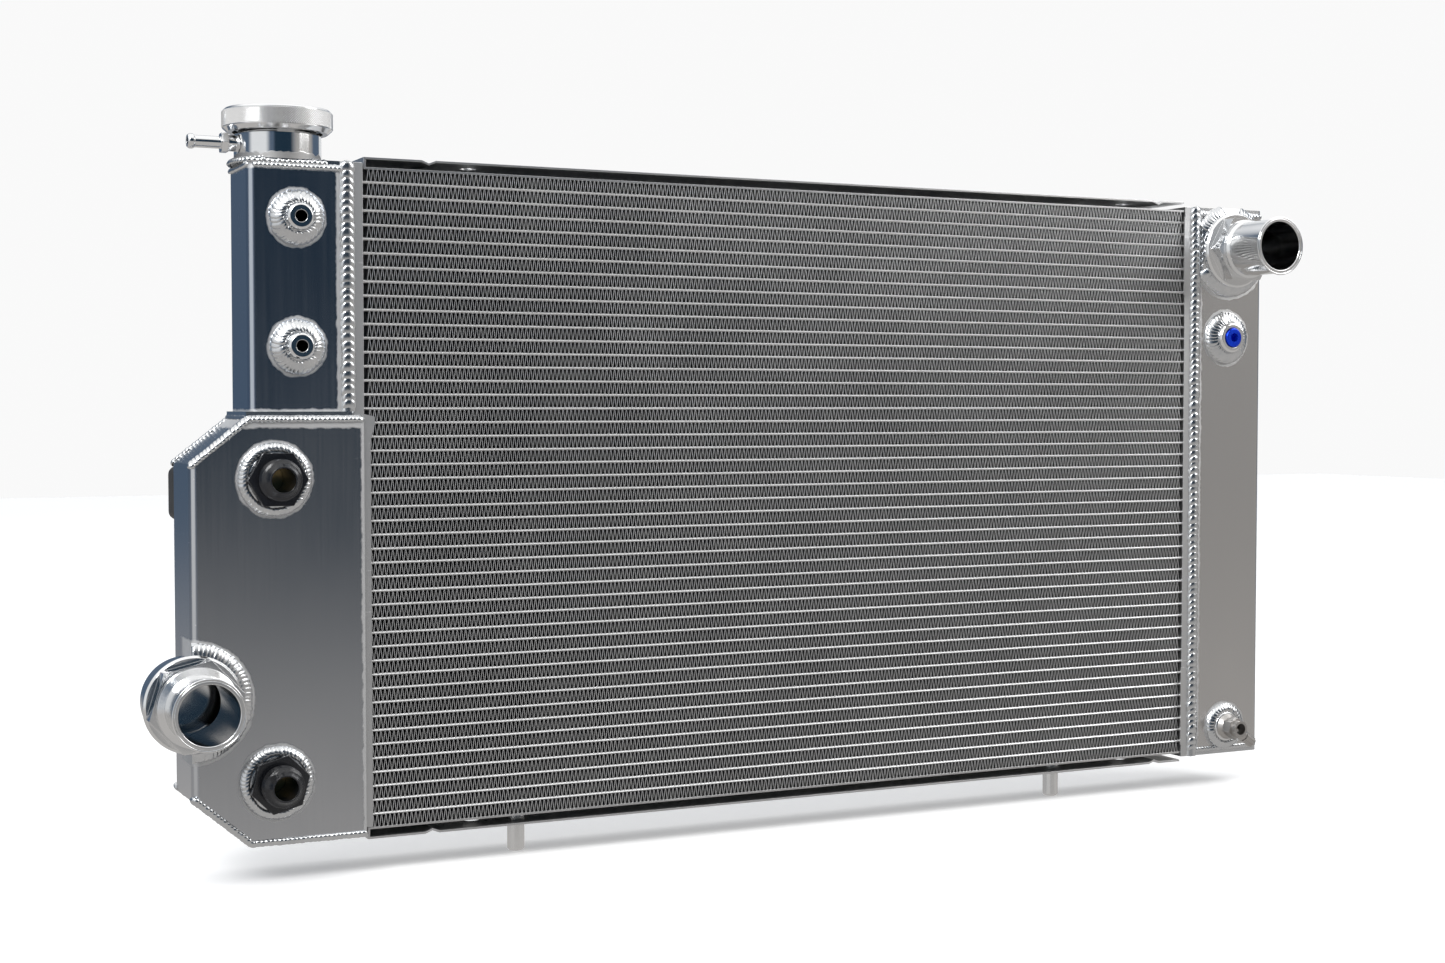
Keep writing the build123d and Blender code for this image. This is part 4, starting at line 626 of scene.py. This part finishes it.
# %% One frozen puddle, a unit wide, long and high
def make_puddle():
    bpy.ops.object.select_all(action="DESELECT")
    bpy.ops.mesh.primitive_uv_sphere_add(segments=14, ring_count=9, radius=0.5)
    made = bpy.context.object
    bpy.ops.object.mode_set(mode="EDIT")
    bpy.ops.mesh.select_all(action="SELECT")
    bpy.ops.mesh.bisect(plane_co=(0, 0, -0.12), plane_no=(0, 0, 1), use_fill=True,
                        clear_inner=True)
    bpy.ops.object.mode_set(mode="OBJECT")
    return made


puddle = make_puddle()
print("a puddle has", len(puddle.data.polygons), "faces")


# %% Copy it along a row of stations
PUDDLE_TILT = radians(12)


def lay_weld(name, node, stations, length, height, skew=0.0):
    """Each station is (point, across, outward, width); skew turns each puddle on the sheet."""
    dice = random.Random(name)
    bpy.ops.object.select_all(action="DESELECT")
    for point, across, outward, width in stations:
        across = Matrix.Rotation(skew, 3, outward) @ across
        tilt = Matrix.Rotation(PUDDLE_TILT * dice.uniform(0.8, 1.2), 3, across)
        outward = tilt @ outward
        along = outward.cross(across)
        across_size = width * dice.uniform(0.94, 1.06)
        height_size = height * dice.uniform(0.90, 1.10)
        length_size = length * dice.uniform(0.92, 1.10)
        basis = Matrix((across * across_size, along * length_size, outward * height_size))
        mesh = puddle.data.copy()
        shift = point + across * dice.uniform(-0.03, 0.03) * width
        mesh.transform(Matrix.Translation(shift) @ basis.transposed().to_4x4())
        copy = bpy.data.objects.new(name, mesh)
        bpy.context.scene.collection.objects.link(copy)
        copy.select_set(True)
        bpy.context.view_layer.objects.active = copy
    bpy.ops.object.join()
    piece = finish_piece(bpy.context.object, name, node, smooth_angle=50)
    print(name, "has", len(stations), "ripples")
    return piece


def straight_run(start, end, pitch, across, outward, width):
    """Stations along a straight seam."""
    start, end = Vector(start), Vector(end)
    count = round((end - start).length / pitch)
    return [(start.lerp(end, (index + 0.5) / count), Vector(across).normalized(),
             Vector(outward).normalized(), width) for index in range(count)]


def ring_run(middle, axis, spoke, radii, height, pitch, keep=lambda point: True):
    """Stations round a bung, on the slope from its wall down to the sheet."""
    inner, outer = radii
    count = round(pi * (inner + outer) / pitch)
    stations = []
    for index in range(count):
        radial = spoke(2 * pi * index / count)
        across = (radial * (outer - inner) - axis * height).normalized()
        outward = (radial * height + axis * (outer - inner)).normalized()
        bulge = outward * height * 0.14
        point = middle + radial * (inner + outer) / 2 + axis * height / 2 + bulge
        if keep(point):
            stations.append((point, across, outward, (Vector((outer - inner, height)).length)))
    return stations


def front_spoke(angle):
    return Vector((cos(angle), 0, sin(angle)))


def flat_spoke(angle):
    return Vector((cos(angle), sin(angle), 0))


ENGINE_SIDE = Vector((0, -1, 0))
UP = Vector((0, 0, 1))


# %% The long seams beside the header plates
LONG_PITCH = 5.0 * MM
LONG_WIDTH = 10.4 * MM
LONG_LENGTH = 14.0 * MM
LONG_HEIGHT = 5.0 * MM
TANK_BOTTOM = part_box("right_tank_shell")[0].z
for side, bottom, node in (
        (-1, UPPER_BOTTOM + 0.004, "left_tank_welds"), (1, TANK_BOTTOM, "right_tank_welds")):
    for facing, place in ((-1, "front"), (1, "back")):
        run = straight_run(
            (side * SEAM_X, facing * FACE, bottom), (side * SEAM_X, facing * FACE, TANK_TOP),
            LONG_PITCH, (-facing, 0, 0), (0, facing, 0), LONG_WIDTH)
        lay_weld(f"{'left' if side < 0 else 'right'}_seam_ripples_{place}", node, run,
                 LONG_LENGTH, LONG_HEIGHT)


# %% The rope-like corner welds round the end plates
CORNER_PITCH = 3.0 * MM
CORNER_WIDTH = 6.4 * MM
CORNER_LENGTH = 7.4 * MM
CORNER_HEIGHT = 4.6 * MM
CORNER_SKEW = radians(32)
PLATE_EDGE = 0.357


def corner_run(wall, edge, front, back, z, upward):
    """Stations along three sides of an end plate: front edge, end wall and back edge."""
    side = 1 if wall > edge else -1
    inset = 1.2 * MM
    end = wall - side * inset
    turn = wall - side * 5 * MM
    height = z - upward * inset
    front_y, back_y = -front + inset, back - inset
    run = straight_run((edge, front_y, height), (turn, front_y, height), CORNER_PITCH,
                       (0, 1, upward), (0, -1, upward), CORNER_WIDTH)
    run += straight_run((end, front_y + 3 * MM, height), (end, back_y - 3 * MM, height),
                        CORNER_PITCH, (-side, 0, upward), (side, 0, upward), CORNER_WIDTH)
    run += straight_run((turn, back_y, height), (edge, back_y, height), CORNER_PITCH,
                        (0, -1, upward), (0, 1, upward), CORNER_WIDTH)
    return run


LEFT_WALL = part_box("left_upper_tank_shell")[0].x
RIGHT_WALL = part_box("right_tank_shell")[1].x
lay_weld("left_lid_ripples", "left_tank_welds",
         corner_run(LEFT_WALL, -PLATE_EDGE, FACE, FACE, TANK_TOP, 1),
         CORNER_LENGTH, CORNER_HEIGHT, CORNER_SKEW)
lay_weld("right_top_ripples", "right_tank_welds",
         corner_run(RIGHT_WALL, PLATE_EDGE, FACE, FACE, TANK_TOP, 1),
         CORNER_LENGTH, CORNER_HEIGHT, CORNER_SKEW)
lay_weld("right_bottom_ripples", "right_tank_welds",
         corner_run(RIGHT_WALL, PLATE_EDGE, FACE, FACE, TANK_BOTTOM, -1),
         CORNER_LENGTH, CORNER_HEIGHT, CORNER_SKEW)


# %% The step between the two left tanks
step_z = UPPER_BOTTOM - 0.5 * MM
step_run = straight_run((-0.358, -FACE - 1.6 * MM, step_z), (LEFT_WALL, -FACE - 1.6 * MM, step_z),
                        CORNER_PITCH, (0, 1, 1), (0, -1, 1), CORNER_WIDTH)
step_run += straight_run((LEFT_WALL - 1.4 * MM, -FACE, step_z), (LEFT_WALL - 1.4 * MM, FACE, step_z),
                         CORNER_PITCH, (1, 0, 1), (-1, 0, 1), CORNER_WIDTH)
lay_weld("tank_step_ripples", "tank_step_weld", step_run, CORNER_LENGTH, CORNER_HEIGHT, CORNER_SKEW)


# %% The bevelled outline of the lower tank
LOWER_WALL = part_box("left_lower_tank_shell")[0].x
LOWER_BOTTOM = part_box("left_lower_tank_bottom_plate")[0].z
LOWER_EDGE = -0.351
TOP_BEVEL = (38.7 * MM, 31.0 * MM)
BOTTOM_BEVEL = (38.5 * MM, 33.0 * MM)
LOWER_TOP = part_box("left_lower_tank_top_plate")[1].z
LOWER_OUTLINE = {
    "upper": [(LOWER_EDGE, LOWER_TOP), (LOWER_WALL + TOP_BEVEL[0], LOWER_TOP),
              (LOWER_WALL, LOWER_TOP - TOP_BEVEL[1])],
    "lower": [(LOWER_WALL, LOWER_BOTTOM + BOTTOM_BEVEL[1]),
              (LOWER_WALL + BOTTOM_BEVEL[0], LOWER_BOTTOM), (LOWER_EDGE, LOWER_BOTTOM)],
}
for which, points in LOWER_OUTLINE.items():
    for facing, depth, place in ((-1, LOWER_FACE, "front"), (1, FACE, "back")):
        run = []
        for (x0, z0), (x1, z1) in zip(points, points[1:]):
            normal = Vector((z1 - z0, 0, x0 - x1)).normalized()
            y = facing * (depth - 1.2 * MM)
            inset = normal * 1.2 * MM
            run += straight_run(Vector((x0, y, z0)) - inset, Vector((x1, y, z1)) - inset,
                                CORNER_PITCH, normal - Vector((0, facing, 0)),
                                normal + Vector((0, facing, 0)), CORNER_WIDTH)
        lay_weld(f"{which}_plate_ripples_{place}", "lower_tank_welds", run,
                 CORNER_LENGTH, CORNER_HEIGHT, CORNER_SKEW)


# %% The rings round the bungs
RING_PITCH = 2.8 * MM
RING_LENGTH = 8.6 * MM
RING_HEIGHT = 3.2 * MM


def front_ring(node, face, inner, outer, height, keep=lambda point: True):
    x, z = ring_place(node)
    return ring_run(Vector((x, -face, z)), ENGINE_SIDE, front_spoke,
                    (inner * MM, outer * MM), height * MM, RING_PITCH, keep)


small_rings = []
for which in ("lower", "upper"):
    small_rings += front_ring(f"{which}_sensor_bung", FACE, 9.0, 18.5, 6.6)
lay_weld("sensor_bung_ripples", "fitting_welds", small_rings, RING_LENGTH, RING_HEIGHT)

cooler_rings = []
for which in ("lower", "upper"):
    cooler_rings += front_ring(f"{which}_cooler_fitting", LOWER_FACE, 18.6, 24.6, 4.0)
lay_weld("cooler_bung_ripples", "fitting_welds", cooler_rings, RING_LENGTH, RING_HEIGHT)
lay_weld("plug_bung_ripples", "fitting_welds",
         front_ring("plug_bung", FACE, 11.0, 21.5, 5.6), RING_LENGTH, RING_HEIGHT)
lay_weld("drain_bung_ripples", "fitting_welds",
         front_ring("drain_bung", FACE, 12.0, 19.0, 3.6), RING_LENGTH, RING_HEIGHT)
hose_x = HOSE_RING[0][0]
lay_weld("lower_hose_ripples", "lower_hose_weld",
         front_ring("lower_hose_neck", LOWER_FACE, 29.2, 40.0, 3.8,
                    lambda point: point.x > hose_x + 2 * MM), RING_LENGTH, RING_HEIGHT)
lay_weld("upper_hose_ripples", "upper_hose_weld",
         front_ring("upper_hose_neck", FACE, 27.2, 38.0, 5.6,
                    lambda point: 0.3665 < point.x < RIGHT_WALL - 1 * MM
                    and point.z < TANK_TOP - 0.5 * MM), RING_LENGTH, RING_HEIGHT)
neck_x = ring_place("cap_shell")[0]
neck_run = ring_run(Vector((neck_x, 0, TANK_TOP)), UP, flat_spoke, (29.0 * MM, 33.0 * MM),
                    4.0 * MM, RING_PITCH, lambda point: abs(point.y) < FACE - 1 * MM)
neck_ripples = lay_weld("filler_neck_ripples", "filler_neck_weld", neck_run, 5.5 * MM, 3.2 * MM)
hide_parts("filler_neck_weld")
lid_run = straight_run((neck_x - 27 * MM, 1.8 * MM - FACE, TANK_TOP + 1.6 * MM),
                       (neck_x + 27 * MM, 1.8 * MM - FACE, TANK_TOP + 1.6 * MM),
                       3.4 * MM, (0, 1, 0.6), (0, -0.6, 1), 5.6 * MM)
lay_weld("filler_neck_front_ripples", "filler_neck_weld", lid_run, 6.0 * MM, 4.4 * MM,
         -CORNER_SKEW)
bpy.data.objects.remove(puddle)


# %% [markdown]
# ## Turned extras
# The cap's grip is a band of fine diamonds, the adapters carry a cut thread, and a hose neck ends
# in a small rolled lip. A band is a thin tube whose points are pushed out in a chequer. The rest
# are outlines drawn point by point and spun about the fitting's axis.

# %% The knurled band of the cap
KNURL_COLUMNS = 280
KNURL_ROWS = 14
KNURL_DEPTH = 1.013
KNURL_BOTTOM = 0.4843
KNURL_TOP = 0.4956


def knurled_band():
    low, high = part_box("cap_shell")
    radius = (high.x - low.x) / 2 + 0.05 * MM
    centre_x = (low.x + high.x) / 2
    bottom, top = KNURL_BOTTOM, KNURL_TOP
    bpy.ops.object.select_all(action="DESELECT")
    bpy.ops.mesh.primitive_cylinder_add(
        vertices=KNURL_COLUMNS, radius=radius, depth=top - bottom, end_fill_type="NOTHING",
        location=(centre_x, 0, (bottom + top) / 2))
    band = bpy.context.object
    bpy.ops.object.transform_apply(location=True)
    bpy.ops.object.mode_set(mode="EDIT")
    bpy.ops.mesh.select_mode(type="EDGE")
    bpy.ops.mesh.select_all(action="DESELECT")
    bpy.ops.object.mode_set(mode="OBJECT")
    for edge in band.data.edges:
        first, second = (band.data.vertices[index].co for index in edge.vertices)
        edge.select = abs(first.z - second.z) > 1e-4
    bpy.ops.object.mode_set(mode="EDIT")
    bpy.ops.mesh.subdivide(number_cuts=KNURL_ROWS - 1)
    bpy.ops.mesh.select_mode(type="VERT")
    bpy.ops.mesh.select_all(action="DESELECT")
    bpy.ops.object.mode_set(mode="OBJECT")
    row_height = (top - bottom) / KNURL_ROWS
    for vertex in band.data.vertices:
        across = vertex.co - Vector((centre_x, 0, 0))
        column = round(across.xy.angle_signed(Vector((1, 0))) / (2 * pi) * KNURL_COLUMNS)
        row = round((vertex.co.z - bottom) / row_height)
        vertex.select = (column + row) % 2 == 0 and 0 < row < KNURL_ROWS
    bpy.ops.object.mode_set(mode="EDIT")
    bpy.ops.transform.resize(value=(KNURL_DEPTH, KNURL_DEPTH, 1),
                             center_override=(centre_x, 0, 0))
    bpy.ops.mesh.select_all(action="SELECT")
    bpy.ops.mesh.quads_convert_to_tris(quad_method="SHORTEST_DIAGONAL")
    bpy.ops.object.mode_set(mode="OBJECT")
    apply_modifier(band, "SOLIDIFY", thickness=0.6 * MM, offset=-1)
    return finish_piece(band, "cap_knurl", "cap_shell", smooth_angle=12)


print("the knurl has", len(knurled_band().data.polygons), "faces")


# %% Draw an outline and spin it
def turned(name, node, middle, outline, steps=64, material=None):
    """A ring about the engine-side axis through middle (x, z), from (radius, y) points."""
    bpy.ops.object.select_all(action="DESELECT")
    bpy.ops.mesh.primitive_plane_add(size=0.001)
    piece = bpy.context.object
    bpy.ops.object.mode_set(mode="EDIT")
    bpy.ops.mesh.select_mode(type="VERT")
    bpy.ops.mesh.select_all(action="SELECT")
    bpy.ops.mesh.merge(type="CENTER")
    x, z = middle
    points = [Vector((x + radius, y, z)) for radius, y in outline]
    bpy.ops.transform.translate(value=points[0])
    for before, after in zip(points, points[1:] + points[:1]):
        bpy.ops.mesh.extrude_vertices_move(TRANSFORM_OT_translate={"value": after - before})
    bpy.ops.mesh.select_all(action="SELECT")
    bpy.ops.mesh.remove_doubles(threshold=0.000001)
    bpy.ops.mesh.select_all(action="SELECT")
    bpy.ops.mesh.spin(steps=steps, angle=2 * pi, center=(x, 0, z), axis=(0, 1, 0))
    bpy.ops.mesh.select_all(action="SELECT")
    bpy.ops.mesh.remove_doubles(threshold=0.000001)
    bpy.ops.mesh.select_all(action="SELECT")
    bpy.ops.mesh.normals_make_consistent(inside=False)
    bpy.ops.object.mode_set(mode="OBJECT")
    return finish_piece(piece, name, node, material=material)


# %% The rolled lips of the hose necks
LIP = 0.9 * MM
for node in ("lower_hose_neck", "upper_hose_neck"):
    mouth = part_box(node)[0].y
    lip = [(22.0 * MM + LIP * (1 + cos(2 * pi * turn / 12)) * 0.9,
            mouth + LIP * (1 + sin(2 * pi * turn / 12))) for turn in range(12)]
    turned(f"{node}_lip", node, ring_place(node), lip, steps=96)
print("lips made")

# %% The threads of the adapters
THREAD_PITCH = 2.117 * MM
THREAD_TURNS = 3
THREAD_ROOT = 13.35 * MM
THREAD_CREST = 13.95 * MM
THREAD_INSIDE = 12.9 * MM
for node in ("lower_cooler_fitting", "upper_cooler_fitting"):
    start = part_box(node)[0].y + 6.2 * MM
    teeth = []
    for turn in range(THREAD_TURNS):
        y = start + turn * THREAD_PITCH
        teeth += [(THREAD_ROOT, y), (THREAD_CREST, y + 0.4 * THREAD_PITCH),
                  (THREAD_CREST, y + 0.6 * THREAD_PITCH)]
    teeth += [(THREAD_ROOT, start + THREAD_TURNS * THREAD_PITCH),
              (THREAD_INSIDE, start + THREAD_TURNS * THREAD_PITCH), (THREAD_INSIDE, start)]
    turned(f"{node}_thread", node, ring_place(node), teeth)
print("threads made")
